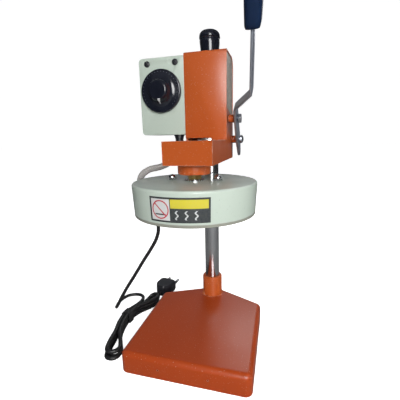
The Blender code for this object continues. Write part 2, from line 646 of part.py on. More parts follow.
def build_plunger_guide(paint, brass):
    at = (0.0, PLATEN_Y)
    top = ARM_BOTTOM_Z - GAP
    bore = PLUNGER_RADIUS + GAP + BUSH_WALL + GAP
    profile = [
        (bore, GUIDE_BOTTOM_Z), (GUIDE_RADIUS - 1.0, GUIDE_BOTTOM_Z), (GUIDE_RADIUS, GUIDE_BOTTOM_Z + 1.0),
        (GUIDE_RADIUS, top), (GUIDE_POCKET_RADIUS, top), (GUIDE_POCKET_RADIUS, GUIDE_POCKET_Z),
        (bore, GUIDE_POCKET_Z),
    ]
    turned("plunger_guide", profile, at, "Z", paint, 32)
    bush = tube_profile(PLUNGER_RADIUS + GAP, bore - GAP, GUIDE_BOTTOM_Z, GUIDE_POCKET_Z)
    turned("guide_bush", bush, at, "Z", brass, 24)


def smooth_line(route, spacing):
    """Points at about an even spacing on a Catmull-Rom curve through a route."""
    points = [Vector(p) for p in route]
    ends = [points[0] * 2.0 - points[1]] + points + [points[-1] * 2.0 - points[-2]]
    fine = []
    for i in range(1, len(ends) - 2):
        p0, p1, p2, p3 = ends[i - 1], ends[i], ends[i + 1], ends[i + 2]
        for k in range(20):
            t = k / 20.0
            fine.append(0.5 * (2.0 * p1 + (p2 - p0) * t + (2.0 * p0 - 5.0 * p1 + 4.0 * p2 - p3) * t * t
                               + (3.0 * p1 - p0 - 3.0 * p2 + p3) * t ** 3))
    fine.append(points[-1])
    total = sum((b - a).length for a, b in zip(fine, fine[1:]))
    count = max(2, round(total / spacing))
    wanted = [total * i / count for i in range(count + 1)]
    line, run, k = [fine[0]], 0.0, 0
    for goal in wanted[1:-1]:
        while run + (fine[k + 1] - fine[k]).length < goal:
            run += (fine[k + 1] - fine[k]).length
            k += 1
        step = fine[k + 1] - fine[k]
        line.append(fine[k] + step * ((goal - run) / step.length))
    return line + [fine[-1]]


def tube_along(name, route, radius, spacing, material, detail=2):
    """A round bar along a smooth route, as a curve with a bevel and filled caps."""
    curve = bpy.data.curves.new(name, "CURVE")
    curve.dimensions = "3D"
    line = smooth_line(route, spacing)
    spline = curve.splines.new("POLY")
    spline.points.add(len(line) - 1)
    for point, place in zip(spline.points, line):
        point.co = (*(place * MM), 1.0)
    curve.bevel_depth = radius * MM
    curve.bevel_resolution = detail
    curve.use_fill_caps = True
    curve.materials.append(material)
    item = bpy.data.objects.new(name, curve)
    bpy.context.scene.collection.objects.link(item)
    return item


def build_heater_lead(glass_cloth):
    """Flexible lead that carries the heater's current from the arm down to the platen."""
    y = PLATEN_Y + 43.0
    bottom = PLATEN_TOP_Z + GAP
    top = ARM_BOTTOM_Z - GAP
    rise = top - bottom
    route = [
        (0.0, y, bottom), (0.0, y, bottom + 0.2 * rise), (4.0, y + 4.0, bottom + 0.45 * rise),
        (4.0, y + 4.0, bottom + 0.55 * rise), (0.0, y, bottom + 0.8 * rise), (0.0, y, top),
    ]
    tube_along("heater_lead", route, 2.0, 2.4, glass_cloth)


# ---------------------------------------------------------------- lever
def lever_point(along, across):
    """Height and depth of a point on the bar: along it from the shaft, and across it to the rear."""
    lean = math.radians(LEVER_LEAN_DEG)
    y = LEVER_Y - along * math.sin(lean) + across * math.cos(lean)
    z = LEVER_Z + along * math.cos(lean) + across * math.sin(lean)
    return y, z


def bar_x(along):
    """Inner face of the bar: beside the head below, carried out by the joggle, and splayed above it."""
    share = (along - JOGGLE_START) / (JOGGLE_END - JOGGLE_START)
    splay = BAR_SPLAY * max(along - JOGGLE_END, 0.0)
    return HEAD_HALF_WIDTH + BAR_CLEARANCE + BAR_OFFSET_X * min(max(share, 0.0), 1.0) + splay


def bar_edges():
    """Front and rear edge of the bar at stations along it; the tail is tapered and round-ended."""
    half = BAR_WIDTH / 2.0
    return BAR_TAIL + [(along, -half, half) for along in (-14.0, JOGGLE_START, JOGGLE_END, BAR_END)]


def build_lever_bar(zinc):
    shape = bmesh.new()
    rows = []
    for along, front, rear in bar_edges():
        row = []
        for across in (front, rear):
            y, z = lever_point(along, across)
            for lift in (0.0, BAR_THICKNESS):
                row.append(shape.verts.new((bar_x(along) + lift, y, z)))
        rows.append((row[0], row[1], row[3], row[2]))
    shape.faces.new(rows[0])
    shape.faces.new(rows[-1])
    for a, b in zip(rows, rows[1:]):
        for k in range(4):
            n = (k + 1) % 4
            shape.faces.new((a[k], a[n], b[n], b[k]))
    bar = place_object("lever_bar", shape, zinc, origin=(0.0, LEVER_Y, LEVER_Z))
    low, high = bar_x(0.0) - 2.0, bar_x(0.0) + BAR_THICKNESS + 2.0
    drill(bar, (LEVER_Y, LEVER_Z), SHAFT_RADIUS + GAP, low, high, "X", 16)
    drill(bar, (GUIDE_BOLT_Y, GUIDE_BOLT_Z), SHAFT_RADIUS + GAP, low, high, "X", 16)
    return bar


def build_grip(plastic):
    shape = bmesh.new()
    rows = []
    stations = [(0.0, 0.90), (0.02, 0.97), (0.06, 1.0), (0.5, 1.0), (0.85, 1.0), (0.95, 0.93), (1.0, 0.72)]
    for share, scale in stations:
        along = GRIP_START + (GRIP_END - GRIP_START) * share
        swell = GRIP_SWELL * math.sin(math.pi * share)
        half_x = (GRIP_THICKNESS / 2.0 + swell / 2.0) * scale
        half_w = (GRIP_WIDTH / 2.0 + swell) * scale
        row = []
        corners = [(-half_x, -half_w), (half_x, -half_w), (half_x, half_w), (-half_x, half_w)]
        for u, v in round_corners(corners, [half_x * 0.7] * 4, 3):
            y, z = lever_point(along, v)
            row.append(shape.verts.new((bar_x(along) + BAR_THICKNESS / 2.0 + u, y, z)))
        rows.append(row)
    shape.faces.new(rows[0])
    shape.faces.new(rows[-1])
    for a, b in zip(rows, rows[1:]):
        for k in range(len(a)):
            n = (k + 1) % len(a)
            shape.faces.new((a[k], a[n], b[n], b[k]))
    grip = place_object("lever_grip", shape, plastic, True, (0.0, LEVER_Y, LEVER_Z))
    socket = bmesh.new()
    half_x = BAR_THICKNESS / 2.0 + GAP
    half_w = BAR_WIDTH / 2.0 + GAP
    ends = []
    for along in (GRIP_START - 5.0, BAR_END + GAP):
        ring = []
        for u, v in ((-half_x, -half_w), (half_x, -half_w), (half_x, half_w), (-half_x, half_w)):
            y, z = lever_point(along, v)
            ring.append(socket.verts.new((bar_x(along) + BAR_THICKNESS / 2.0 + u, y, z)))
        ends.append(ring)
    socket.faces.new(ends[0])
    socket.faces.new(ends[1])
    for k in range(4):
        n = (k + 1) % 4
        socket.faces.new((ends[0][k], ends[0][n], ends[1][n], ends[1][k]))
    cut(grip, place_object("grip socket", socket, None, origin=(0.0, LEVER_Y, LEVER_Z)))


def build_lever_fittings(paint, zinc):
    half = HEAD_HALF_WIDTH
    outer = bar_x(0.0) + BAR_THICKNESS
    axis = (LEVER_Y, LEVER_Z)
    origin = (0.0, LEVER_Y, LEVER_Z)
    head_low = outer + GAP
    head = prism("lever_shaft", hexagon(axis, BOLT_HEAD_RADIUS), head_low, head_low + BOLT_HEAD_HEIGHT, "X",
                 zinc, origin)
    shank = turned("shaft bar", rod_profile(SHAFT_RADIUS, -half + GAP, outer + 2.0), axis, "X", None, 16)
    join(head, shank)
    spacer = tube_profile(SHAFT_RADIUS + GAP, SPACER_RADIUS, half + GAP, bar_x(0.0) - GAP)
    turned("pivot_spacer", spacer, axis, "X", paint, 16)

    lower = (GUIDE_BOLT_Y, GUIDE_BOLT_Z)
    dome = [
        (0.0, half + 1.0), (SHAFT_RADIUS, half + 1.0), (SHAFT_RADIUS, head_low), (6.0, head_low),
        (6.0, head_low + 2.4), (4.4, head_low + 4.3), (2.2, head_low + 5.2), (0.0, head_low + 5.4),
    ]
    turned("guide_bolt", dome, lower, "X", zinc, 16)
    guide = tube_profile(SHAFT_RADIUS + GAP, SPACER_RADIUS, half + GAP, bar_x(0.0) - GAP)
    turned("guide_spacer", guide, lower, "X", paint, 16)


def cam_nose():
    dip = math.radians(CAM_DIP_DEG)
    return LEVER_Y - CAM_THROW * math.cos(dip), LEVER_Z - CAM_THROW * math.sin(dip)


def build_cam(steel):
    nose = cam_nose()
    away = math.degrees(math.atan2(nose[1] - LEVER_Z, nose[0] - LEVER_Y))
    spread = math.degrees(math.acos((CAM_HUB_RADIUS - CAM_NOSE_RADIUS) / CAM_THROW))
    outline = arc_points(nose, CAM_NOSE_RADIUS, away - spread, away + spread, 8)
    outline += arc_points((LEVER_Y, LEVER_Z), CAM_HUB_RADIUS, away + spread, away + 360.0 - spread, 14)
    cam = prism("lever_cam", outline, -CAM_HALF_WIDTH, CAM_HALF_WIDTH, "X", steel, (0.0, LEVER_Y, LEVER_Z))
    drill(cam, (LEVER_Y, LEVER_Z), SHAFT_RADIUS + GAP, -CAM_HALF_WIDTH - 2.0, CAM_HALF_WIDTH + 2.0, "X", 16)


# ---------------------------------------------------------------- rocker, fulcrum, spindle, spring
def build_rocker(steel):
    """Rocking arm: its rear eye hangs on the fulcrum pin, its fork holds the plunger's neck."""
    pad_z = cam_nose()[1] - CAM_NOSE_RADIUS - GAP
    arm_top = ARM_TOP_Z - HEAD_WALL - 1.2
    fork_low = FORK_Z - FORK_END_RADIUS
    arm_low = fork_low + 1.2
    # Behind its round ends the fork thins out, so that it clears the plunger's head as it tips.
    head_rear = PLATEN_Y + PLUNGER_RADIUS
    outline = arc_points((0.0, FULCRUM_Z), ROCKER_EYE_RADIUS, -90.0, 90.0, 7)
    outline += [
        (-9.0, FULCRUM_Z + ROCKER_EYE_RADIUS), (-11.0, pad_z), (-27.6, pad_z), (-28.2, pad_z - 8.0),
        (-28.2, arm_top), (head_rear + 7.0, arm_top), (head_rear + 4.0, FORK_Z + 0.8),
    ]
    outline += arc_points((FORK_Y, FORK_Z), FORK_END_RADIUS, 90.0, 270.0, 6)
    outline += [(head_rear - 1.0, fork_low), (head_rear + 4.0, arm_low), (-30.0, arm_low), (-20.5, 271.0),
                (-14.5, COLUMN_TOP_Z + 4.0)]
    half = ROCKER_HALF_WIDTH
    rocker = prism("rocker", outline, -half - 1.2, half + 1.2, "X", steel, (0.0, 0.0, FULCRUM_Z))
    drill(rocker, (0.0, FULCRUM_Z), FULCRUM_PIN_RADIUS + GAP, -half - 3.0, half + 3.0, "X", 16)
    fork_gap = block("fork gap", (-FORK_HALF_GAP, FORK_Y - 10.0, fork_low - 5.0),
                     (FORK_HALF_GAP, head_rear + 2.0, arm_top + 5.0), None)
    cut(rocker, fork_gap)
    bar = rod_profile(2.0, SPRING_X - SPRING_RADIUS - 1.0, 0.0)
    stud = turned("spring stud", bar, (SPRING_Y, SPRING_STUD_Z), "X", None, 10)
    join(rocker, stud)


def build_fulcrum(steel, brass, black):
    half_slot = ROCKER_HALF_WIDTH + 1.2 + GAP
    half_x = half_slot + BLOCK_WALL
    low = COLUMN_TOP_Z + 2.5
    bridge = FULCRUM_Z + ROCKER_EYE_RADIUS + 1.2
    high = bridge + 6.0
    depth = BLOCK_HALF_DEPTH
    fulcrum = block("fulcrum_block", (-half_x, -depth, low), (half_x, depth, high), steel)
    slot_low, slot_high = (-half_slot, -depth - 2.0, low - 2.0), (half_slot, depth + 2.0, bridge)
    cut(fulcrum, block("rocker slot", slot_low, slot_high, None))
    pin_hole = FULCRUM_PIN_RADIUS + GAP
    drill(fulcrum, (0.0, FULCRUM_Z), pin_hole, -half_x - 2.0, half_x + 2.0, "X", 16)
    drill(fulcrum, (0.0, 0.0), SPINDLE_RADIUS + GAP, SPINDLE_BOTTOM_Z - GAP, high + 2.0, "Z", 16)
    pin = rod_profile(FULCRUM_PIN_RADIUS, -half_x - 1.0, half_x + 1.0, 0.5)
    turned("fulcrum_pin", pin, (0.0, FULCRUM_Z), "X", steel, 16)

    knob_low = TOWER_TOP_Z + 0.6
    knob_top = knob_low + KNOB_HEIGHT
    spindle_top = knob_low + 18.0
    spindle = rod_profile(SPINDLE_RADIUS, SPINDLE_BOTTOM_Z, spindle_top, 0.5)
    turned("tension_spindle", spindle, (0.0, 0.0), "Z", steel, 16)
    nut_top = TOWER_TOP_Z - TOWER_SHEET - GAP
    nut = prism("spindle_nut", hexagon((0.0, 0.0), 8.0), nut_top - 7.0, nut_top, "Z", brass)
    drill(nut, (0.0, 0.0), SPINDLE_RADIUS + GAP, nut_top - 9.0, nut_top + 2.0, "Z", 16)

    bore = SPINDLE_RADIUS + GAP
    profile = [
        (0.0, spindle_top + GAP), (bore, spindle_top + GAP), (bore, knob_low), (KNOB_FOOT_RADIUS, knob_low),
        (KNOB_FOOT_RADIUS + 0.5, knob_low + 8.0), (KNOB_RADIUS - 0.7, knob_low + 17.0),
        (KNOB_RADIUS, knob_low + 23.0), (KNOB_RADIUS - 0.4, knob_low + 27.0),
        (KNOB_RADIUS - 2.2, knob_top - 2.2), (KNOB_RADIUS - 5.4, knob_top - 0.6), (0.0, knob_top),
    ]
    turned("tension_knob", profile, (0.0, 0.0), "Z", black, 24)


def build_spring(steel):
    """Extension spring that lifts the rocker, hung from the tower's top."""
    low = SPRING_STUD_Z + 2.0 + GAP + SPRING_WIRE
    high = SPRING_TOP_Z - GAP - SPRING_WIRE
    per_turn = 10
    count = SPRING_TURNS * per_turn
    curve = bpy.data.curves.new("return_spring", "CURVE")
    curve.dimensions = "3D"
    spline = curve.splines.new("POLY")
    spline.points.add(count)
    for i in range(count + 1):
        turn = 2.0 * math.pi * i / per_turn
        x = SPRING_X + (SPRING_RADIUS - SPRING_WIRE) * math.cos(turn)
        y = SPRING_Y + (SPRING_RADIUS - SPRING_WIRE) * math.sin(turn)
        spline.points[i].co = (x * MM, y * MM, (low + (high - low) * i / count) * MM, 1.0)
    curve.bevel_depth = SPRING_WIRE * MM
    curve.bevel_resolution = 0
    curve.use_fill_caps = True
    curve.materials.append(steel)
    item = bpy.data.objects.new("return_spring", curve)
    bpy.context.scene.collection.objects.link(item)
    hanger_top = TOWER_TOP_Z - TOWER_SHEET - GAP
    block("spring_hanger", (SPRING_X - 4.0, SPRING_Y - 3.5, SPRING_TOP_Z),
          (SPRING_X + 4.0, SPRING_Y + 3.5, hanger_top), steel)


# ---------------------------------------------------------------- control box
def build_control_box(mint, steel, black):
    right = BOX_RIGHT_X
    front = TOWER_FRONT_Y
    outline = round_corners(
        [(BOX_LEFT_X, BOX_BOTTOM_Z), (right, BOX_BOTTOM_Z), (right, BOX_TOP_Z), (BOX_LEFT_X, BOX_TOP_Z)],
        [BOX_CORNER_RADIUS, 1.0, 1.0, BOX_CORNER_RADIUS], 4,
    )
    box = prism("control_box", outline, front, BOX_REAR_Y, "Y", mint)
    s = BOX_SHEET
    inner_r = BOX_CORNER_RADIUS - s
    room_corners = [
        (BOX_LEFT_X + s, BOX_BOTTOM_Z + s), (right - s, BOX_BOTTOM_Z + s),
        (right - s, BOX_TOP_Z - s), (BOX_LEFT_X + s, BOX_TOP_Z - s),
    ]
    room = round_corners(room_corners, [inner_r, 0.8, 0.8, inner_r], 4)
    cut(box, prism("box room", room, front + s, BOX_REAR_Y + 5.0, "Y", None))
    lid_corners = [
        (BOX_LEFT_X + s + GAP, BOX_BOTTOM_Z + s + GAP), (right - s - GAP, BOX_BOTTOM_Z + s + GAP),
        (right - s - GAP, BOX_TOP_Z - s - GAP), (BOX_LEFT_X + s + GAP, BOX_TOP_Z - s - GAP),
    ]
    lid = round_corners(lid_corners, [inner_r, 0.8, 0.8, inner_r], 4)
    prism("control_box_back", lid, BOX_REAR_Y - 1.5 - 1.2, BOX_REAR_Y - 1.2, "Y", steel)

    shaft_radius = 3.0
    drill(box, (DIAL_X, DIAL_Z), shaft_radius + GAP, front - 2.0, front + s + 2.0, "Y", 12)
    for number, x in enumerate(BOX_SCREW_X, 1):
        drill(box, (x, BOX_SCREW_Z), 2.3, front - 2.0, front + s + 2.0, "Y", 12)
        radius = BOX_SCREW_RADIUS
        profile = [
            (0.0, front - 2.4), (radius - 1.2, front - 2.4), (radius, front - 1.4), (radius, front - GAP),
            (2.0, front - GAP), (2.0, front + 7.0), (0.0, front + 7.0),
        ]
        turned(f"box_screw_{number}", profile, (x, BOX_SCREW_Z), "Y", black, 12)

    width, depth, height = THERMOSTAT_SIZE
    body_front = front + s + GAP
    body = block("thermostat_body", (DIAL_X - width / 2.0, body_front, DIAL_Z - height / 2.0),
                 (DIAL_X + width / 2.0, body_front + depth, DIAL_Z + height / 2.0), steel)
    drill(body, (DIAL_X, DIAL_Z), shaft_radius + GAP, body_front - 2.0, body_front + 12.0, "Y", 12)
    shaft_end = front - 10.0
    shaft = rod_profile(shaft_radius, shaft_end, body_front + 11.0)
    turned("thermostat_shaft", shaft, (DIAL_X, DIAL_Z), "Y", steel, 12, (DIAL_X, 0.0, DIAL_Z))
    back = front - 0.8
    bore = shaft_radius + GAP
    profile = [
        (bore, back), (DIAL_RADIUS, back), (DIAL_RADIUS, back - DIAL_SKIRT + 1.4),
        (DIAL_RADIUS - 1.4, back - DIAL_SKIRT), (DIAL_GRIP_RADIUS + 2.5, back - DIAL_SKIRT - 1.6),
        (DIAL_GRIP_RADIUS, back - DIAL_SKIRT - 3.6), (DIAL_GRIP_RADIUS - 2.0, back - DIAL_HEIGHT + 2.6),
        (DIAL_GRIP_RADIUS - 5.5, back - DIAL_HEIGHT), (0.0, back - DIAL_HEIGHT),
        (0.0, shaft_end - GAP), (bore, shaft_end - GAP),
    ]
    # The profile starts on the axis, so that the dial's front and its shaft bore both close.
    outside_in = profile[8:9] + profile[7::-1] + profile[:8:-1]
    turned("thermostat_dial", outside_in, (DIAL_X, DIAL_Z), "Y", black, 40, (DIAL_X, 0.0, DIAL_Z))

    gland_top = BOX_BOTTOM_Z - GAP
    profile = [
        (0.0, gland_top), (7.5, gland_top), (7.5, gland_top - 5.0), (6.0, gland_top - 6.5),
        (5.4, gland_top - GLAND_LENGTH), (0.0, gland_top - GLAND_LENGTH),
    ]
    turned("cable_gland", profile, (GLAND_X, GLAND_Y), "Z", black, 16)


# ---------------------------------------------------------------- cord, hank and plug
def build_cord(glass_cloth, rubber, brass):
    route = list(SLEEVE_ROUTE)
    gland_foot = BOX_BOTTOM_Z - GAP - GLAND_LENGTH
    route[0] = (GLAND_X, GLAND_Y, gland_foot - GAP)
    route[1] = (GLAND_X, GLAND_Y, gland_foot - GAP - 11.0)
    tube_along("cable_sleeve", route, SLEEVE_RADIUS, 10.0, glass_cloth)
    tube_along("mains_cord", CORD_ROUTE, CORD_RADIUS, 8.0, rubber)

    build_hank(rubber)
    build_plug(rubber, brass)


def hank_half_width(along):
    """Half the hank's width at a distance along its middle line."""
    for (start, first), (end, last) in zip(HANK_SIDES, HANK_SIDES[1:]):
        if along <= end:
            return first + (last - first) * (along - start) / (end - start)
    return HANK_SIDES[-1][1]


def build_hank(rubber):
    """The folded cord's outer shape, as one flat-topped solid with round ends."""
    middle = smooth_line([(x, y, 0.0) for x, y in HANK_ROUTE], 9.0)
    left, right, along = [], [], 0.0
    for i, point in enumerate(middle):
        along += (point - middle[max(i - 1, 0)]).length
        ahead = middle[min(i + 1, len(middle) - 1)] - middle[max(i - 1, 0)]
        side = Vector((-ahead.y, ahead.x, 0.0)).normalized() * hank_half_width(along)
        left.append((point.x + side.x, point.y + side.y))
        right.append((point.x - side.x, point.y - side.y))
    first, last = middle[0], middle[-1]
    start = math.degrees(math.atan2(left[0][1] - first.y, left[0][0] - first.x))
    end = math.degrees(math.atan2(right[-1][1] - last.y, right[-1][0] - last.x))
    first_cap = arc_points((first.x, first.y), hank_half_width(0.0), start - 180.0, start - 360.0, 6)
    last_cap = arc_points((last.x, last.y), hank_half_width(along), end - 180.0, end - 360.0, 6)
    outline = first_cap[:-1] + left + last_cap[1:-1] + list(reversed(right))[:-1]
    prism("cord_hank", outline, HANK_LIFT, HANK_HEIGHT, "Z", rubber)


def plug_place(along, across, up):
    """A point on the plug: along it towards its pins, across it, and above the floor."""
    turn = math.radians(90.0 + PLUG_TURN_DEG)
    x = PLUG_AT[0] + along * math.cos(turn) - across * math.sin(turn)
    y = PLUG_AT[1] + along * math.sin(turn) + across * math.cos(turn)
    return x, y, up


def build_plug(rubber, brass):
    half = PLUG_WIDTH / 2.0
    outline = round_corners(
        [(-PLUG_LENGTH * 0.5, -half * 0.42), (-PLUG_LENGTH * 0.12, -half), (PLUG_LENGTH * 0.5, -half),
         (PLUG_LENGTH * 0.5, half), (-PLUG_LENGTH * 0.12, half), (-PLUG_LENGTH * 0.5, half * 0.42)],
        [3.0, 6.0, 5.0, 5.0, 6.0, 3.0], 3,
    )
    shape = bmesh.new()
    layers = []
    for up, scale in ((0.4, 0.93), (3.0, 1.0), (PLUG_HEIGHT - 3.0, 1.0), (PLUG_HEIGHT, 0.93)):
        layers.append([shape.verts.new(plug_place(u * scale, v * scale, up)) for u, v in outline])
    shape.faces.new(layers[0])
    shape.faces.new(layers[-1])
    for a, b in zip(layers, layers[1:]):
        for k in range(len(a)):
            n = (k + 1) % len(a)
            shape.faces.new((a[k], a[n], b[n], b[k]))
    body = place_object("plug_body", shape, rubber, True)
    middle = PLUG_HEIGHT / 2.0
    for number, side in ((1, -1.0), (2, 1.0)):
        across = side * PIN_SPACING / 2.0
        nose = PLUG_LENGTH / 2.0
        bore = PIN_RADIUS + GAP
        socket = round_bar(f"pin socket {number}", nose - 8.0, nose + 4.0, across, middle, bore, None)
        cut(body, socket)
        tip = PLUG_LENGTH * 0.5 + PIN_LENGTH
        round_bar(f"plug_pin_{number}", PLUG_LENGTH * 0.5 - 7.0, tip, across, middle, PIN_RADIUS, brass)


def round_bar(name, start, end, across, up, radius, material):
    """A round bar that lies along the plug."""
    shape = bmesh.new()
    sides = 12
    rings = []
    for along in (start, end):
        ring = []
        for i in range(sides):
            turn = 2.0 * math.pi * i / sides
            ring.append(shape.verts.new(
                plug_place(along, across + radius * math.cos(turn), up + radius * math.sin(turn))))
        rings.append(ring)
    shape.faces.new(rings[0])
    shape.faces.new(rings[1])
    for k in range(sides):
        n = (k + 1) % sides
        shape.faces.new((rings[0][k], rings[0][n], rings[1][n], rings[1][k]))
    return place_object(name, shape, material, True)


# ---------------------------------------------------------------- the whole press
for old in list(bpy.data.objects):
    bpy.data.objects.remove(old, do_unlink=True)

orange = make_material("orange enamel", (0.60, 0.11, 0.025), 0.38, 0.0)
mint_paint = make_material("pale mint enamel", (0.52, 0.60, 0.52), 0.3, 0.0)
grey_hammer = make_material("grey hammered paint", (0.42, 0.40, 0.36), 0.5, 0.2)
chrome_plate = make_material("chrome", (0.75, 0.76, 0.78), 0.12, 1.0)
bright_steel = make_material("bright steel", (0.55, 0.55, 0.56), 0.3, 1.0)
zinc_plate = make_material("zinc plate", (0.50, 0.50, 0.54), 0.35, 1.0)
yellow_brass = make_material("brass", (0.70, 0.50, 0.20), 0.3, 1.0)
cast_aluminium = make_material("aluminium", (0.70, 0.70, 0.70), 0.35, 1.0)
white_ceramic = make_material("ceramic fibre", (0.80, 0.78, 0.72), 0.9, 0.0)
black_plastic = make_material("black plastic", (0.012, 0.013, 0.018), 0.3, 0.0)
navy_plastic = make_material("navy plastic", (0.010, 0.025, 0.075), 0.35, 0.0)
black_rubber = make_material("black rubber", (0.015, 0.015, 0.015), 0.55, 0.0)
grey_braid = make_material("glass braid", (0.30, 0.29, 0.28), 0.75, 0.0)
printed_film = make_material("printed film", (0.60, 0.45, 0.10), 0.35, 0.0)

build_base(orange, bright_steel, black_rubber)
build_column(orange, chrome_plate, bright_steel)
build_head_frame(orange, bright_steel)
build_tower(orange, grey_hammer)
build_platen(mint_paint, cast_aluminium, yellow_brass, bright_steel, white_ceramic, printed_film)
build_plunger_guide(orange, yellow_brass)
build_heater_lead(grey_braid)
build_lever_bar(zinc_plate)
build_grip(navy_plastic)
build_lever_fittings(orange, zinc_plate)
build_cam(bright_steel)
build_rocker(bright_steel)
build_fulcrum(bright_steel, yellow_brass, black_plastic)
build_spring(bright_steel)
build_control_box(mint_paint, bright_steel, black_plastic)
build_cord(grey_braid, black_rubber, yellow_brass)
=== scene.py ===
import math

import bmesh
import bpy
from mathutils import Matrix, Vector


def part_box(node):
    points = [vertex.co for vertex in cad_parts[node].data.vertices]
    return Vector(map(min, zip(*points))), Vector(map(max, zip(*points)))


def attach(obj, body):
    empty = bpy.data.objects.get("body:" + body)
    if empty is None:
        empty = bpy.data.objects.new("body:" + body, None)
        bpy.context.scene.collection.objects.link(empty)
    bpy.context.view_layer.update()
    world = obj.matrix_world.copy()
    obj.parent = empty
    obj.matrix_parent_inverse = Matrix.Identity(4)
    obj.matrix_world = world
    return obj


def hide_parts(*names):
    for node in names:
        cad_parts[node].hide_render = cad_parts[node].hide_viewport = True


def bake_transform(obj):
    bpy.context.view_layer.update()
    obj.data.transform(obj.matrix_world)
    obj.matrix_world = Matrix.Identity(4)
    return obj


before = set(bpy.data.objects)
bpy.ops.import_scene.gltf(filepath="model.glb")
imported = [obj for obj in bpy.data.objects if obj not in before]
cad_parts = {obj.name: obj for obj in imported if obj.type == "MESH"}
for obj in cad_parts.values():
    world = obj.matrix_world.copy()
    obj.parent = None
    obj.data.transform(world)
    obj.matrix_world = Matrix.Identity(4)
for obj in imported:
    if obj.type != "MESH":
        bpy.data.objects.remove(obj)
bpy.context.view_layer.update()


# ---- Studio ------------------------------------------------------------------------------------
# The press stands on a wide white floor in a white tent. A big soft lamp in front on the right, a
# weak one on the left and one behind light it, and dark cards give the chrome its dark edges.
MM = 0.001                      # metres in a millimetre; the sizes below are in millimetres
CAMERA_PLACE = (96.31, -422.86, 277.48)
CAMERA_YAW = 15.19
CAMERA_PITCH = 12.07
CAMERA_ROLL = -1.15
CAMERA_LENS = 25.75
FLOOR_HALF = 9000.0
LIGHT_FLOOR_Z = -1.0
CARD_FOOT_Z = -50.0
LAMP_TARGET = (0.0, -60.0, 200.0)
TENT_SIDE = (0.66, 0.68, 0.72, 1.0)
TENT_TOP = (0.36, 0.37, 0.39, 1.0)
TENT_STRENGTH = 0.34


class Wire:
    """A socket in a node tree. Arithmetic on it adds Math nodes, and node() adds any other node."""

    def __init__(self, tree, socket=None):
        self.tree = tree
        self.socket = socket

    def node(self, kind, settings=(), values=(), out=0):
        """Add a node: its settings come first, then its inputs, each a number, a colour or a Wire."""
        made = self.tree.nodes.new(kind)
        for key, value in dict(settings).items():
            if key == "stops":
                ramp = made.color_ramp.elements
                ramp[0].position, ramp[0].color = value[0]
                ramp[1].position, ramp[1].color = value[-1]
                for place, colour in value[1:-1]:
                    ramp.new(place).color = colour
            else:
                setattr(made, key, value)
        for key, value in dict(values).items():
            if isinstance(value, Wire):
                self.tree.links.new(value.socket, made.inputs[key])
            else:
                made.inputs[key].default_value = value
        return Wire(self.tree, made.outputs[out])

    def math(self, operation, *terms):
        return self.node("ShaderNodeMath", {"operation": operation}, enumerate(terms))

    def __add__(self, other):
        return self.math("ADD", self, other)

    def __sub__(self, other):
        return self.math("SUBTRACT", self, other)

    def __mul__(self, other):
        return self.math("MULTIPLY", self, other)

    def __truediv__(self, other):
        return self.math("DIVIDE", self, other)

    def __radd__(self, other):
        return self.math("ADD", other, self)

    def __rsub__(self, other):
        return self.math("SUBTRACT", other, self)

    def __rmul__(self, other):
        return self.math("MULTIPLY", other, self)

    def __gt__(self, other):
        return self.math("GREATER_THAN", self, other)

    def __lt__(self, other):
        return self.math("LESS_THAN", self, other)

    def __abs__(self):
        return self.math("ABSOLUTE", self)


def split(wire):
    """The three numbers of a place, each as a wire."""
    apart = wire.node("ShaderNodeSeparateXYZ", {}, {0: wire}).socket.node
    return [Wire(wire.tree, socket) for socket in apart.outputs]


def mixed(share, first, second):
    """A colour between two others."""
    return share.node("ShaderNodeMix", {"data_type": "RGBA"}, {0: share, 6: first, 7: second}, out=2)


def finish(name, fixed, pattern=None):
    """A material: what is the same all over is set on its shader, and pattern() makes what varies."""
    material = bpy.data.materials.new(name)
    material.use_nodes = True
    tree = material.node_tree
    shader = tree.nodes["Principled BSDF"]
    for key, value in fixed.items():
        shader.inputs[key].default_value = value
    if pattern:
        place = Wire(tree).node("ShaderNodeTexCoord", out="Object")
        for key, wire in pattern(place).items():
            tree.links.new(wire.socket, shader.inputs[key])
    return material


def link(item):
    bpy.context.scene.collection.objects.link(item)
    return item


def lamp(name, place, size, power):
    """A square soft lamp that faces the middle of the press."""
    head = bpy.data.lights.new(name, "AREA")
    head.size = size * MM
    head.energy = power
    item = link(bpy.data.objects.new(name, head))
    item.location = Vector(place) * MM
    item.rotation_euler = (Vector(LAMP_TARGET) - Vector(place)).to_track_quat("-Z", "Y").to_euler()


def card(name, corners, material, seen_by):
    """A flat four-cornered sheet that belongs to the studio, and the rays that meet it."""
    mesh = bpy.data.meshes.new(name)
    mesh.from_pydata([Vector(corner) * MM for corner in corners], [], [(0, 1, 2, 3)])
    mesh.materials.append(material)
    sheet = link(bpy.data.objects.new(name, mesh))
    sheet.visible_camera = seen_by == "camera"
    sheet.visible_diffuse = seen_by == "light"
    sheet.visible_glossy = seen_by != "camera"
    sheet.visible_shadow = sheet.visible_transmission = False


eye = link(bpy.data.objects.new("camera", bpy.data.cameras.new("camera")))
eye.data.lens = CAMERA_LENS
eye.matrix_world = (
    Matrix.Translation(Vector(CAMERA_PLACE) * MM)
    @ Matrix.Rotation(math.radians(CAMERA_YAW), 4, "Z")
    @ Matrix.Rotation(math.radians(90.0 - CAMERA_PITCH), 4, "X")
    @ Matrix.Rotation(math.radians(CAMERA_ROLL), 4, "Z")
)
bpy.context.scene.camera = eye
bpy.context.scene.view_settings.view_transform = "Standard"

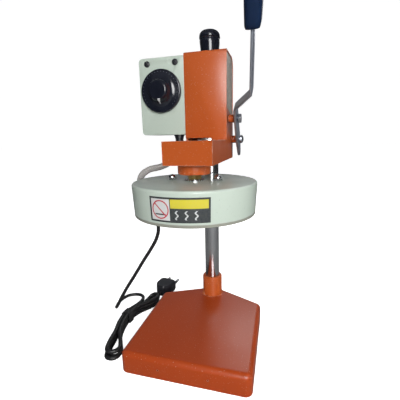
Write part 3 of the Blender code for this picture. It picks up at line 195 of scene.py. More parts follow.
tent = bpy.data.worlds.new("tent")
tent.use_nodes = True
bpy.context.scene.world = tent
way = Wire(tent.node_tree).node("ShaderNodeTexCoord", out="Generated")
rise = split(way)[2]
climb = rise.node("ShaderNodeMapRange", {}, {0: rise, 1: 0.30, 2: 0.85})
tent_light = tent.node_tree.nodes["Background"]
tent.node_tree.links.new(mixed(climb, TENT_SIDE, TENT_TOP).socket, tent_light.inputs["Color"])
tent_light.inputs["Strength"].default_value = TENT_STRENGTH

lamp("key lamp", (430.0, -1150.0, 620.0), 600.0, 16.5)
lamp("left lamp", (-1150.0, -250.0, 500.0), 700.0, 2.0)
lamp("right lamp", (1250.0, -330.0, 460.0), 500.0, 4.5)
lamp("roof lamp", (60.0, 950.0, 900.0), 420.0, 2.0)

white_floor = finish("white floor", {
    "Base Color": (0.90, 0.90, 0.89, 1.0), "Roughness": 0.9,
    "Emission Color": (1.0, 1.0, 1.0, 1.0), "Emission Strength": 0.9,
})
white_tent = finish("white tent", {
    "Base Color": (0.0, 0.0, 0.0, 1.0), "Emission Color": (1.0, 1.0, 1.0, 1.0), "Emission Strength": 1.0,
})
grey_floor = finish("grey floor", {"Base Color": (0.22, 0.22, 0.215, 1.0), "Roughness": 0.9})
dark_card = finish("dark card", {"Base Color": (0.01, 0.01, 0.012, 1.0), "Roughness": 1.0})
floor_corners = [(x * FLOOR_HALF, y * FLOOR_HALF, 0.0) for x, y in ((-1, -1), (1, -1), (1, 1), (-1, 1))]
card("floor", floor_corners, white_floor, "camera")
card("floor for light", [(x, y, LIGHT_FLOOR_Z) for x, y, z in floor_corners], grey_floor, "light")
card("tent roof", [(x, y, FLOOR_HALF) for x, y, z in floor_corners], white_tent, "camera")
for number, (start, end) in enumerate(zip(floor_corners, floor_corners[1:] + floor_corners[:1]), 1):
    wall = [start, end, (*end[:2], FLOOR_HALF), (*start[:2], FLOOR_HALF)]
    card(f"tent wall {number}", wall, white_tent, "camera")
for name, start, end, top in (
    ("card left", (-700.0, -900.0), (-700.0, 300.0), 900.0),
    ("card right", (800.0, 900.0), (800.0, -500.0), 900.0),
    ("card front", (-700.0, -900.0), (120.0, -1200.0), 800.0),
):
    corners = [(*start, CARD_FOOT_Z), (*end, CARD_FOOT_Z), (*end, top), (*start, top)]
    card(name, corners, dark_card, "gloss")


# ---- Mains cord --------------------------------------------------------------------------------
# A round PVC cord, 5.5 mm thick, pushed through the gland under the control box. It runs round the
# back of the platen and down to the floor, makes one loose bow there, and the rest is folded up.
CORD_RADIUS = 2.75
GLAND_FOOT = (-42.0, -20.0, 273.7)
SLEEVE_ROUTE = [
    (-42.0, -20.0, 262.4), (-47.5, -27.5, 249.5), (-61.0, -45.0, 240.5), (-75.0, -58.0, 237.0),
    (-86.0, -61.0, 228.0), (-91.0, -57.0, 212.0), (-89.0, -50.0, 197.0), (-84.5, -43.5, 182.0),
]
FLOOR_ROUTE = [
    (-78.5, -37.0, 163.0), (-76.0, -34.5, 145.0), (-80.0, -35.0, 128.0), (-90.0, -37.0, 110.0),
    (-103.5, -39.5, 89.0), (-117.5, -43.0, 66.0), (-131.0, -47.0, 44.5), (-141.0, -51.0, 26.0),
    (-149.0, -50.0, 12.0), (-156.0, -42.0, 4.2), (-160.0, -29.0, 3.0), (-160.0, -15.5, 3.0),
    (-153.6, -2.4, 3.0), (-140.0, 3.5, 3.2), (-127.5, -2.5, 5.2), (-118.0, -20.5, 10.5),
]
HANK_ROUTE = [(-101.0, 2.0), (-105.0, -22.0), (-121.0, -62.0), (-117.0, -98.0), (-99.0, -146.0)]
HANK_LEVELS = (14.1, 8.5, 2.9)  # the cord's turns lie on each other, and it winds in from the top
HANK_PINCH = 2.9                # the runs' distance from the middle line where the tie holds them
HANK_FOLD = 8.3                 # radius of the folds
HANK_NEAR = 14.5                # middle of the near folds, along the hank
HANK_FAR = (148.0, 153.0, 143.0)
HANK_RUN = (26.0, 46.0, 70.0, 94.0, 116.0, 134.0)
PLUG_AT = (-96.7, 27.7)
PLUG_TURN = 80.5                # the way the plug points, from +X
PLUG_LENGTH = 34.0


def smooth_line(route, spacing):
    """Points at an even spacing on a Catmull-Rom curve through a route."""
    points = [Vector(p) for p in route]
    ends = [points[0] * 2.0 - points[1]] + points + [points[-1] * 2.0 - points[-2]]
    fine = []
    for p0, p1, p2, p3 in zip(ends, ends[1:], ends[2:], ends[3:]):
        for k in range(16):
            t = k / 16.0
            fine.append(0.5 * (2.0 * p1 + (p2 - p0) * t + (2.0 * p0 - 5.0 * p1 + 4.0 * p2 - p3) * t * t
                               + (3.0 * p1 - p0 - 3.0 * p2 + p3) * t ** 3))
    fine.append(points[-1])
    total = sum((b - a).length for a, b in zip(fine, fine[1:]))
    count = max(2, round(total / spacing))
    line, run, k = [fine[0]], 0.0, 0
    for i in range(1, count):
        while run + (fine[k + 1] - fine[k]).length < total * i / count:
            run += (fine[k + 1] - fine[k]).length
            k += 1
        step = fine[k + 1] - fine[k]
        line.append(fine[k] + step * ((total * i / count - run) / step.length))
    return line + [fine[-1]]


def solid(name, shape, material, sharp=35.0):
    """A bmesh in millimetres becomes an object in metres at the origin, with its hard edges kept."""
    bmesh.ops.recalc_face_normals(shape, faces=shape.faces)
    bmesh.ops.scale(shape, vec=(MM, MM, MM), verts=shape.verts)
    mesh = bpy.data.meshes.new(name)
    shape.to_mesh(mesh)
    shape.free()
    mesh.shade_smooth()
    mesh.set_sharp_from_angle(angle=math.radians(sharp))
    mesh.materials.append(material)
    return link(bpy.data.objects.new(name, mesh))


def loft(name, rings, material, capped=True, looped=False, sharp=35.0):
    """Skin a row of closed rings; UV runs once round each ring and along the rings in ring widths."""
    shape = bmesh.new()
    uv = shape.loops.layers.uv.new("UVMap")
    rows = [[shape.verts.new(point) for point in ring] for ring in rings]
    count = len(rows[0])
    pairs = list(zip(rows, rows[1:])) + ([(rows[-1], rows[0])] if looped else [])
    girth = max(sum((Vector(a) - Vector(b)).length for a, b in zip(rings[0], rings[0][1:])), 1.0)
    along = 0.0
    for a, b in pairs:
        ahead = along + (a[0].co - b[0].co).length / girth
        for k in range(count):
            n = (k + 1) % count
            face = shape.faces.new((a[k], a[n], b[n], b[k]))
            for loop, at in zip(face.loops, ((k, along), (k + 1, along), (k + 1, ahead), (k, ahead))):
                loop[uv].uv = (at[0] / count, at[1])
        along = ahead
    if capped:
        shape.faces.new(rows[0])
        shape.faces.new(rows[-1])
    return solid(name, shape, material, sharp)


def line_rings(line, radius, sides):
    """Round rings square to a line, carried along it without twist."""
    across = (line[1] - line[0]).orthogonal().normalized()
    rings = []
    for i, point in enumerate(line):
        ahead = (line[min(i + 1, len(line) - 1)] - line[max(i - 1, 0)]).normalized()
        across = (across - ahead * across.dot(ahead)).normalized()
        up = ahead.cross(across)
        turns = [2.0 * math.pi * k / sides for k in range(sides)]
        rings.append([point + (across * math.cos(t) + up * math.sin(t)) * radius for t in turns])
    return rings


hank_line = smooth_line([(x, y, 0.0) for x, y in HANK_ROUTE], 1.0)


def hank_place(along, across, height):
    """A point in the hank: along its middle line, across it towards the base, above the floor."""
    i = min(max(int(along), 0), len(hank_line) - 2)
    step = hank_line[i + 1] - hank_line[i]
    point = hank_line[i] + step * (along - i)
    side = Vector((-step.y, step.x, 0.0)).normalized()
    return tuple(point + side * across + Vector((0.0, 0.0, height)))


def hank_spread(along):
    """How far a run lies from the middle line: drawn in by the tie, spread out at the folds."""
    near = max(0.0, 1.0 - along / 44.0)
    far = max(0.0, (along - 112.0) / 34.0)
    share = min(1.0, max(near * 1.6, far))
    return HANK_PINCH + (HANK_FOLD - HANK_PINCH) * share * share * (3.0 - 2.0 * share)


def fold(middle, first_deg, last_deg, level, next_level):
    """Points round a fold; it sinks to the next level on its second half."""
    points = []
    for k in range(5):
        turn = math.radians(first_deg + (last_deg - first_deg) * k / 4.0)
        drop = max(0.0, (k - 2) / 2.0)
        place = (middle + HANK_FOLD * math.cos(turn), HANK_FOLD * math.sin(turn))
        points.append(hank_place(*place, level + (next_level - level) * drop))
    return points


def plug_place(along, across, up):
    """A point on the plug: along it towards its pins, across it, and above the floor."""
    turn = math.radians(PLUG_TURN)
    x = PLUG_AT[0] + along * math.cos(turn) - across * math.sin(turn)
    y = PLUG_AT[1] + along * math.sin(turn) + across * math.cos(turn)
    return x, y, up


def fit(item, body, slot, *stands_for):
    """Hand a finished piece over: the body it moves with, its finish, which is not used, and what it stands
    for.
    """
    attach(item, body)
    if stands_for:
        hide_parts(*stands_for)
    return item


def noise(place, scale, detail=2.0):
    return place.node("ShaderNodeTexNoise", {}, {"Vector": place, "Scale": scale, "Detail": detail})


def bump(height, strength, distance):
    """A normal raised by a height; the distance is in metres."""
    return height.node("ShaderNodeBump", {}, {"Strength": strength, "Distance": distance, "Height": height})


def cord_skin(place):
    grain = noise(place, 900.0, 3.0)
    scuffs = noise(place, 60.0, 4.0)
    return {
        "Base Color": mixed(scuffs, (0.006, 0.006, 0.007, 1.0), (0.017, 0.017, 0.018, 1.0)),
        "Roughness": 0.34 + 0.22 * scuffs,
        "Normal": bump(grain, 0.25, 0.0002),
    }


black_pvc = finish("black PVC", {"Specular IOR Level": 0.5}, cord_skin)

hank_points = []
for turn_number, level in enumerate(HANK_LEVELS):
    runs = [along for along in HANK_RUN if turn_number > 0 or along > HANK_RUN[0]]
    hank_points += [hank_place(along, -hank_spread(along), level) for along in runs]
    hank_points += fold(HANK_FAR[turn_number], -90.0, 90.0, level, level)
    hank_points += [hank_place(along, hank_spread(along), level) for along in reversed(HANK_RUN)]
    if turn_number + 1 < len(HANK_LEVELS):
        hank_points += fold(HANK_NEAR, 90.0, 270.0, level, HANK_LEVELS[turn_number + 1])
lead_in = [hank_place(13.0, 6.6, 2.9), hank_place(4.0, 3.4, 3.6), hank_place(-3.5, 0.8, 6.6)]
plug_rear = plug_place(-PLUG_LENGTH / 2.0 + 0.5, 0.0, 10.0)
cord_route = [GLAND_FOOT] + SLEEVE_ROUTE + FLOOR_ROUTE + hank_points + lead_in + [plug_rear]
cord_line = smooth_line(cord_route, 2.5)
mains = loft("mains_lead", line_rings(cord_line, CORD_RADIUS, 14), black_pvc)


# ---- Braided sleeve ----------------------------------------------------------------------------
# A grey glass-fibre sleeve slipped over the cord's first stretch, where it passes the hot platen.
# Two sets of strands are woven over and under each other at about 45 degrees.
SLEEVE_RADIUS = 4.4
SLEEVE_BORE = 3.1
STRANDS = 9.0


def braid(place):
    around, along, _ = split(place.node("ShaderNodeTexCoord", out="UV"))
    half_turn = math.pi * STRANDS
    right = ((around + along) * half_turn).math("SINE", (around + along) * half_turn)
    left = ((around - along) * half_turn).math("SINE", (around - along) * half_turn)
    weave = abs(right).math("MAXIMUM", abs(right), abs(left))
    fray = noise(place, 700.0, 3.0)
    height = weave * 0.8 + fray * 0.3
    tone = weave * 0.7 + fray * 0.3
    return {
        "Base Color": mixed(tone, (0.10, 0.095, 0.09, 1.0), (0.42, 0.40, 0.38, 1.0)),
        "Normal": bump(height, 0.8, 0.0006),
    }


glass_braid = finish("glass braid", {"Roughness": 0.7}, braid)
sleeve_line = smooth_line([GLAND_FOOT] + SLEEVE_ROUTE, 2.0)
outside = line_rings(sleeve_line, SLEEVE_RADIUS, 28)
inside = line_rings(sleeve_line, SLEEVE_BORE, 28)
sleeve = loft("braided_sleeve", outside + inside[::-1], glass_braid, capped=False, looped=True, sharp=60.0)
fit(sleeve, "root", "glass_braid", "cable_sleeve")


# ---- Cord tie ----------------------------------------------------------------------------------
# A black hook-and-loop strap, wound once round the folded cord at its bend, with its end lying
# free. It is woven, so its face is dull and finely ribbed.
TIE_AT = 66.0
TIE_WIDTH = 11.0
TIE_HALF = 6.1
TIE_TOP = 17.2
TIE_THICKNESS = 1.0


def strap_weave(place):
    threads = place.node("ShaderNodeTexWave", {"bands_direction": "Z"}, {"Vector": place, "Scale": 600.0})
    fluff = noise(place, 1500.0)
    height = threads * 0.5 + fluff
    return {
        "Base Color": mixed(fluff, (0.008, 0.008, 0.009, 1.0), (0.03, 0.03, 0.032, 1.0)),
        "Normal": bump(height, 0.5, 0.0004),
    }


def arc(centre, radius, start_deg, end_deg, steps):
    """Points on an arc, both ends included."""
    turns = [math.radians(start_deg + (end_deg - start_deg) * i / steps) for i in range(steps + 1)]
    return [(centre[0] + radius * math.cos(t), centre[1] + radius * math.sin(t)) for t in turns]


def rounded(corners, radii, steps=6):
    """Replace each corner of a polygon by an arc of its radius."""
    made = []
    for i, (corner, radius) in enumerate(zip(corners, radii)):
        here = Vector(corner)
        before = (Vector(corners[i - 1]) - here).normalized()
        after = (Vector(corners[(i + 1) % len(corners)]) - here).normalized()
        half = before.angle(after) / 2.0
        if radius <= 0.0 or half > math.radians(89.0):
            made.append(tuple(here))
            continue
        middle = here + (before + after).normalized() * (radius / math.sin(half))
        first = here + before * (radius / math.tan(half)) - middle
        last = here + after * (radius / math.tan(half)) - middle
        start = math.degrees(math.atan2(first.y, first.x))
        sweep = (math.degrees(math.atan2(last.y, last.x)) - start + 180.0) % 360.0 - 180.0
        made += arc(middle, radius, start, start + sweep, steps)
    return made


strap = finish("woven strap", {"Roughness": 0.85}, strap_weave)
low, high = 0.15, TIE_TOP
tie_rings = []
for lift, along in ((0.0, 0.0), (TIE_THICKNESS, 0.0), (TIE_THICKNESS, TIE_WIDTH), (0.0, TIE_WIDTH)):
    half = TIE_HALF + lift
    corners = [(-half, low), (half, low), (half, high + lift), (-half, high + lift)]
    outline = rounded(corners, [0.4, 0.4, 4.0 + lift, 4.0 + lift])
    tie_rings.append([hank_place(TIE_AT + along, across, up) for across, up in outline])
tie = loft("cord_tie", tie_rings, strap, capped=False, looped=True, sharp=50.0)
fit(tie, "root", "black_rubber")


# ---- Cable gland -------------------------------------------------------------------------------
# A black moulded strain relief snapped into the box's floor: a flange, a body and three ribs that
# let it bend, tapering to where the sleeve goes over the cord.
GLAND_TOP = 283.7


def ring(centre, axis, radius, station, sides):
    """A round ring about an axis; centre is its place across the axis."""
    points = []
    for k in range(sides):
        turn = 2.0 * math.pi * (k + 0.5) / sides
        u, v = centre[0] + radius * math.cos(turn), centre[1] + radius * math.sin(turn)
        points.append({"X": (station, u, v), "Y": (u, station, v), "Z": (u, v, station)}[axis])
    return points


def turned(name, profile, centre, axis, material, sides=64, sharp=35.0):
    """A lathe-turned piece. The profile is (radius, station); it is solid if it starts on the axis."""
    hollow = profile[0][0] > 0.0
    stations = profile if hollow else profile[1:-1]
    rings = [ring(centre, axis, radius, station, sides) for radius, station in stations]
    return loft(name, rings, material, capped=not hollow, looped=hollow, sharp=sharp)


def moulded(place):
    grain = noise(place, 1400.0, 2.0)
    rub = noise(place, 45.0, 3.0)
    return {
        "Base Color": mixed(rub, (0.007, 0.007, 0.010, 1.0), (0.018, 0.019, 0.024, 1.0)),
        "Roughness": 0.26 + 0.2 * rub,
        "Normal": bump(grain, 0.2, 0.0001),
    }


black_moulding = finish("black moulding", {"Specular IOR Level": 0.55}, moulded)
gland_profile = [(2.9, GLAND_TOP), (7.5, GLAND_TOP), (7.5, GLAND_TOP - 1.6), (6.6, GLAND_TOP - 2.0)]
for rib in range(3):
    foot = GLAND_TOP - 3.0 - 2.2 * rib
    radius = 6.5 - 0.35 * rib
    groove = radius - 0.9
    gland_profile += [(radius, foot), (radius, foot - 1.2), (groove, foot - 1.5), (groove, foot - 1.9)]
gland_profile += [(5.4, GLAND_FOOT[2] + 0.3), (5.0, GLAND_FOOT[2]), (2.9, GLAND_FOOT[2])]
gland = turned("strain_relief", gland_profile, GLAND_FOOT[:2], "Z", black_moulding, 40)
fit(gland, "root", "black_plastic", "cable_gland")


# ---- Plug --------------------------------------------------------------------------------------
# A black two-pin plug moulded on to the cord: a flat waisted body with finger ribs on its sides, and
# two round nickel-plated pins, each with a black sleeve over its root.
PLUG_HALF_WIDTH = 15.5
PLUG_HEIGHT = 20.0
PIN_SPACING = 19.0
PIN_RADIUS = 2.1
PIN_SLEEVE_RADIUS = 2.4
PIN_SLEEVE_END = 9.5
PIN_END = 19.0

plug_outline = rounded(
    [(-PLUG_LENGTH * 0.5, -PLUG_HALF_WIDTH * 0.42), (-PLUG_LENGTH * 0.12, -PLUG_HALF_WIDTH),
     (PLUG_LENGTH * 0.5, -PLUG_HALF_WIDTH), (PLUG_LENGTH * 0.5, PLUG_HALF_WIDTH),
     (-PLUG_LENGTH * 0.12, PLUG_HALF_WIDTH), (-PLUG_LENGTH * 0.5, PLUG_HALF_WIDTH * 0.42)],
    [3.0, 7.0, 5.0, 5.0, 7.0, 3.0],
)
plug_rings = []
for share in [i / 12.0 for i in range(13)]:
    up = 0.4 + (PLUG_HEIGHT - 0.4) * share
    crown = 1.0 - 0.13 * abs(2.0 * share - 1.0) ** 4.0
    plug_rings.append([plug_place(u * crown, v * crown, up) for u, v in plug_outline])
plug = loft("plug_moulding", plug_rings, black_moulding)
fit(plug, "root", "black_rubber", "plug_body")


def plated(place):
    streaks = place.node("ShaderNodeMapping", {}, {0: place, "Scale": (1.0, 1.0, 0.06)})
    lines = noise(streaks, 700.0, 3.0)
    return {
        "Base Color": mixed(lines, (0.50, 0.51, 0.53, 1.0), (0.68, 0.69, 0.70, 1.0)),
        "Roughness": 0.16 + 0.2 * lines,
    }


bright_steel = finish("bright steel", {"Metallic": 1.0}, plated)


def plug_bar(name, across, start, end, radius, round_end, material):
    """A round bar in the plug's direction, its far end rounded over."""
    stations = [(radius, start), (radius, end - round_end)]
    stations += [(radius - round_end * (1.0 - math.cos(t)), end - round_end * (1.0 - math.sin(t)))
                 for t in (0.4, 0.8, 1.2, 1.57)]
    rings = []
    for size, along in stations:
        turns = [2.0 * math.pi * k / 24 for k in range(24)]
        rings.append([plug_place(PLUG_LENGTH / 2.0 + along, across + size * math.cos(t),
                                 PLUG_HEIGHT / 2.0 + size * math.sin(t)) for t in turns])
    return loft(name, rings, material)


for number, side in ((1, -0.5), (2, 0.5)):
    across = side * PIN_SPACING
    pin = plug_bar(f"pin_{number}", across, -3.0, PIN_END, PIN_RADIUS, 1.6, bright_steel)
    fit(pin, "root", "brass", f"plug_pin_{number}")
    root = plug_bar(f"pin_sleeve_{number}", across, -2.0, PIN_SLEEVE_END, PIN_SLEEVE_RADIUS, 0.2,
                    black_moulding)
    fit(root, "root", "black_plastic")

fit(mains, "root", "black_rubber", "mains_cord", "cord_hank")
[p * MM for p in cord_line]


# ---- Base --------------------------------------------------------------------------------------
# A home-plate shaped box, pressed and welded from steel sheet and stove-enamelled orange. Its top
# edge is rolled over; two small holes in the front wall take the screws of the bottom plate.
BASE_HALF_WIDTH = 79.4
BASE_FRONT_Y = -162.0
BASE_SIDE_END_Y = -17.0
BASE_NOSE = 18.5
BASE_CORNER = 9.0
BASE_FOOT_Z = 1.5
BASE_TOP_Z = 28.9
BASE_ROLL = 6.5
BASE_WALL = 2.5
BASE_ROOF = 4.0
COLLAR_RADIUS = 15.3
SLIT = 0.3                      # clearance between neighbouring pieces
FRONT_HOLES = ((-30.0, 14.2), (30.0, 14.2))
FRONT_HOLE_RADIUS = 1.1


def base_outline(inset):
    """The base's outline moved inward; the rear edges run from the side corners to the nose."""
    width, nose = BASE_HALF_WIDTH - inset, BASE_NOSE - inset
    reach = math.hypot(BASE_HALF_WIDTH, BASE_SIDE_END_Y)
    touch = math.atan2(BASE_SIDE_END_Y, BASE_HALF_WIDTH) + math.acos(BASE_NOSE / reach)
    side_y = (nose - width * math.cos(touch)) / math.sin(touch)
    front, corner = BASE_FRONT_Y + inset, max(BASE_CORNER - inset, 1.0)
    edge = (nose * math.cos(touch), nose * math.sin(touch))
    corners = [(0.0, front), (width, front), (width, side_y), edge]
    right = rounded(corners, [0.0, corner, corner, 0.0], 10)[1:-1]
    turn = math.degrees(touch)
    return right + arc((0.0, 0.0), nose, turn, 180.0 - turn, 20) + [(-x, y) for x, y in reversed(right)]


def enamel(place, dark, pale):
    """Thick stove enamel: an orange-peel surface with soft clouds, dust specks and chipped edges."""
    clouds = noise(place, 7.0, 3.0)
    peel = noise(place, 420.0, 1.0)
    specks = noise(place, 900.0, 0.0) > 0.79
    bevel = place.node("ShaderNodeBevel", {"samples": 4}, {"Radius": 0.0011})
    flat = place.node("ShaderNodeNewGeometry", out="Normal")
    bend = 1.0 - place.node("ShaderNodeVectorMath", {"operation": "DOT_PRODUCT"}, {0: bevel, 1: flat},
                            out="Value")
    chips = (bend * 3.0 + noise(place, 160.0, 4.0)) > 1.02
    paint = mixed(clouds, dark, pale)
    marked = mixed(specks * 0.35, paint, (0.75, 0.62, 0.5, 1.0))
    chipped = mixed(chips * 0.7, marked, (0.62, 0.55, 0.48, 1.0))
    return {
        "Base Color": chipped,
        "Roughness": 0.24 + 0.16 * noise(place, 30.0, 3.0) + 0.3 * chips,
        "Normal": bump(peel, 0.16, 0.0005),
    }


# The base keeps the orange enamel's own colour; the head's copy below is the same enamel lightened with
# painted reflection.
def base_pattern(place):
    return enamel(place, (0.34, 0.044, 0.006, 1.0), (0.40, 0.056, 0.009, 1.0))


base_enamel = finish("orange enamel of the base", {
    "Coat Roughness": 0.2, "Coat Weight": 0.1, "Specular IOR Level": 0.4,
}, base_pattern)


# The same orange enamel as the base's, made lighter and paler for the head and its fittings: the difference
# is painted reflection.
def orange_pattern_lightened_as_painted_reflection(place):
    return enamel(place, (0.40, 0.072, 0.012, 1.0), (0.47, 0.092, 0.018, 1.0))


orange_enamel = finish("orange enamel", {
    "Coat Roughness": 0.2, "Coat Weight": 0.1, "Specular IOR Level": 0.4,
}, orange_pattern_lightened_as_painted_reflection)


def carved(item, *cutters):
    """Take cutters away with exact booleans, and keep the result as the object's own mesh."""
    for cutter in cutters:
        step = item.modifiers.new("cut", "BOOLEAN")
        step.object = cutter
        step.solver = "EXACT"
    bpy.context.view_layer.update()
    seen = item.evaluated_get(bpy.context.evaluated_depsgraph_get())
    mesh = bpy.data.meshes.new_from_object(seen)
    item.modifiers.clear()
    item.data = mesh
    for cutter in cutters:
        bpy.data.objects.remove(cutter)
    mesh.shade_smooth()
    mesh.set_sharp_from_angle(angle=math.radians(35.0))
    return item


def layer(outline, z):
    return [(x, y, z) for x, y in outline]


base_rings = [layer(base_outline(0.7), BASE_FOOT_Z), layer(base_outline(0.0), BASE_FOOT_Z + 0.9)]
for step in range(13):
    roll = math.radians(90.0 * step / 12.0)
    inset = BASE_ROLL * (1.0 - math.cos(roll))
    base_rings.append(layer(base_outline(inset), BASE_TOP_Z - BASE_ROLL * (1.0 - math.sin(roll))))
base = loft("base_pressing", base_rings, base_enamel)
roof = BASE_TOP_Z - BASE_ROOF
room_outline = base_outline(BASE_WALL)
room = loft("base room", [layer(room_outline, 0.0), layer(room_outline, roof)], base_enamel)


def bar_shape(radius, start, end):
    """The profile of a plain round bar, which bores a hole when it is taken away."""
    return [(0.0, start), (radius, start), (radius, end), (0.0, end)]


seat = turned("collar hole", bar_shape(COLLAR_RADIUS + SLIT, 6.5, 32.0), (0.0, 0.0), "Z", base_enamel, 48)
hole_shape = bar_shape(FRONT_HOLE_RADIUS, BASE_FRONT_Y - 1.0, BASE_FRONT_Y + 4.5)
holes = [turned("front hole", hole_shape, place, "Y", base_enamel, 16) for place in FRONT_HOLES]
fit(carved(base, room, seat, *holes), "root", "orange_enamel", "base_shell")


# ---- Bottom plate and feet ---------------------------------------------------------------------
# A flat zinc-plated sheet closes the base from below, and five pressed-in rubber feet stand under
# it: one at each corner and one under the column.
def rubber(place):
    bloom = noise(place, 90.0, 4.0)
    grain = noise(place, 1500.0, 1.0)
    return {
        "Base Color": mixed(bloom, (0.012, 0.012, 0.012, 1.0), (0.035, 0.034, 0.033, 1.0)),
        "Roughness": 0.55 + 0.25 * bloom,
        "Normal": bump(grain, 0.4, 0.0003),
    }


def passivated(place):
    """Zinc plate: bluish with faint spangles, and streaks from the bath."""
    crystals = place.node("ShaderNodeTexVoronoi", {}, {"Vector": place, "Scale": 260.0}, out="Color")
    tone = split(crystals)[0]
    streaks = noise(place.node("ShaderNodeMapping", {}, {0: place, "Scale": (1.0, 1.0, 0.15)}), 120.0, 4.0)
    return {
        "Base Color": mixed(streaks * 0.7 + tone * 0.3, (0.33, 0.34, 0.38, 1.0), (0.58, 0.59, 0.63, 1.0)),
        "Roughness": 0.28 + 0.22 * streaks,
        "Normal": bump(streaks, 0.1, 0.0003),
    }


black_rubber = finish("black rubber", {}, rubber)
zinc = finish("zinc plate", {"Metallic": 1.0}, passivated)


def paint_node(name, material):
    """Give a plain piece its real finish."""
    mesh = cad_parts[name].data
    mesh.materials.clear()
    mesh.materials.append(material)


def eased(node, width, material, body, slot, name, segments=2, sharp=32.0):
    """A piece with its hard edges broken by a small round, as filed or folded metal has."""
    shape = bmesh.new()
    shape.from_mesh(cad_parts[node].data)
    bmesh.ops.scale(shape, vec=(1.0 / MM, 1.0 / MM, 1.0 / MM), verts=shape.verts)
    bmesh.ops.remove_doubles(shape, verts=shape.verts, dist=0.003)
    bmesh.ops.dissolve_limit(shape, angle_limit=math.radians(0.8), verts=shape.verts, edges=shape.edges)
    hard = [e for e in shape.edges if len(e.link_faces) == 2 and e.calc_face_angle() > math.radians(sharp)]
    bmesh.ops.bevel(shape, geom=hard, offset=width, segments=segments, profile=0.5, affect="EDGES",
                    clamp_overlap=True)
    bmesh.ops.scale(shape, vec=(MM, MM, MM), verts=shape.verts)
    mesh = bpy.data.meshes.new(name)
    shape.to_mesh(mesh)
    shape.free()
    mesh.shade_smooth()
    mesh.set_sharp_from_angle(angle=math.radians(40.0))
    mesh.materials.append(material)
    return fit(link(bpy.data.objects.new(name, mesh)), body, slot, node)


paint_node("base_bottom_plate", zinc)
for number in range(1, 6):
    low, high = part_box(f"rubber_foot_{number}")
    middle = (low + high) / 2.0 / MM
    profile = [(0.0, 0.0), (6.2, 0.0), (7.4, 0.25), (7.95, 0.9), (8.0, 1.6), (7.7, 3.0), (0.0, 3.0)]
    foot = turned(f"foot_{number}", profile, middle[:2], "Z", black_rubber, 48)
    fit(foot, "root", "black_rubber", f"rubber_foot_{number}")


# ---- Column and collar -------------------------------------------------------------------------
# A hard-chromed ground steel column, 22 mm thick, stands in an enamelled collar. The collar is
# welded round its foot to the base, and a socket screw in its back locks the column.
COLUMN_RADIUS = 11.0
COLUMN_FOOT_Z = 5.6
COLUMN_TOP_Z = 274.0
COLLAR_TOP_Z = 60.8
WELD_Z = 28.7
WELD_RADIUS = 15.9
SET_SCREW_Z = COLLAR_TOP_Z - 11.0
SOCKET_RADIUS = 1.45            # across the corners of the screw's hexagon socket


def chromed(place):
    grind = noise(place.node("ShaderNodeMapping", {}, {0: place, "Scale": (1.0, 1.0, 14.0)}), 55.0, 5.0)
    smear = noise(place, 22.0, 3.0)
    return {
        "Base Color": mixed(smear, (0.58, 0.60, 0.63, 1.0), (0.80, 0.81, 0.83, 1.0)),
        "Roughness": 0.07 + 0.10 * smear + 0.05 * grind,
        "Normal": bump(grind, 0.04, 0.0002),
    }


def tree_of(name, inputs, build):
    """A Geometry Nodes tree with named inputs, made real and painted at its end."""
    tree = bpy.data.node_groups.new(name, "GeometryNodeTree")
    for label, kind in (*inputs.items(), ("Material", "NodeSocketMaterial")):
        tree.interface.new_socket(label, in_out="INPUT", socket_type=kind)
    tree.interface.new_socket("Geometry", in_out="OUTPUT", socket_type="NodeSocketGeometry")
    entry = tree.nodes.new("NodeGroupInput")
    given = {label: Wire(tree, entry.outputs[label]) for label in (*inputs, "Material")}
    real = given["Material"].node("GeometryNodeRealizeInstances", {}, {"Geometry": build(given)})
    smooth = real.node("GeometryNodeSetShadeSmooth", {}, {"Geometry": real})
    painted = smooth.node("GeometryNodeSetMaterial", {}, {
        "Geometry": smooth, "Material": given["Material"],
    })
    way_out = tree.nodes.new("NodeGroupOutput")
    tree.links.new(painted.socket, way_out.inputs["Geometry"])
    return tree


def grown(name, tree, values):
    """A plain mesh made by a tree from named values, in millimetres, and set at the origin in metres."""
    host = link(bpy.data.objects.new(name + " host", bpy.data.meshes.new(name + " host")))
    step = host.modifiers.new("tree", "NODES")
    step.node_group = tree
    for item in tree.interface.items_tree:
        if item.in_out == "INPUT":
            step[item.identifier] = values[item.name]
    bpy.context.view_layer.update()
    mesh = bpy.data.meshes.new_from_object(host.evaluated_get(bpy.context.evaluated_depsgraph_get()))
    bpy.data.objects.remove(host)
    mesh.name = name
    mesh.transform(Matrix.Scale(MM, 4))
    return link(bpy.data.objects.new(name, mesh))


def ring_of_beads(given):
    """Weld beads, each a flattened ball, laid one on the next round a circle."""
    start = given["Radius"]
    circle = start.node("GeometryNodeCurvePrimitiveCircle", {}, {"Resolution": 64, "Radius": start})
    spots = circle.node("GeometryNodeCurveToPoints", {}, {"Curve": circle, "Count": given["Count"]})
    bead = circle.node("GeometryNodeMeshIcoSphere", {}, {"Radius": given["Bead"], "Subdivisions": 2})
    size = circle.node("FunctionNodeRandomValue", {"data_type": "FLOAT"},
                       {2: 0.8, 3: 1.15, "Seed": given["Seed"]}, out=1)
    squat = circle.node("ShaderNodeCombineXYZ", {}, {0: size, 1: size, 2: size * 0.75})
    beads = circle.node("GeometryNodeInstanceOnPoints", {}, {
        "Points": spots, "Instance": bead, "Scale": squat,
    })
    lift = circle.node("ShaderNodeCombineXYZ", {}, {2: given["Height"]})
    return circle.node("GeometryNodeTransform", {}, {"Geometry": beads, "Translation": lift})


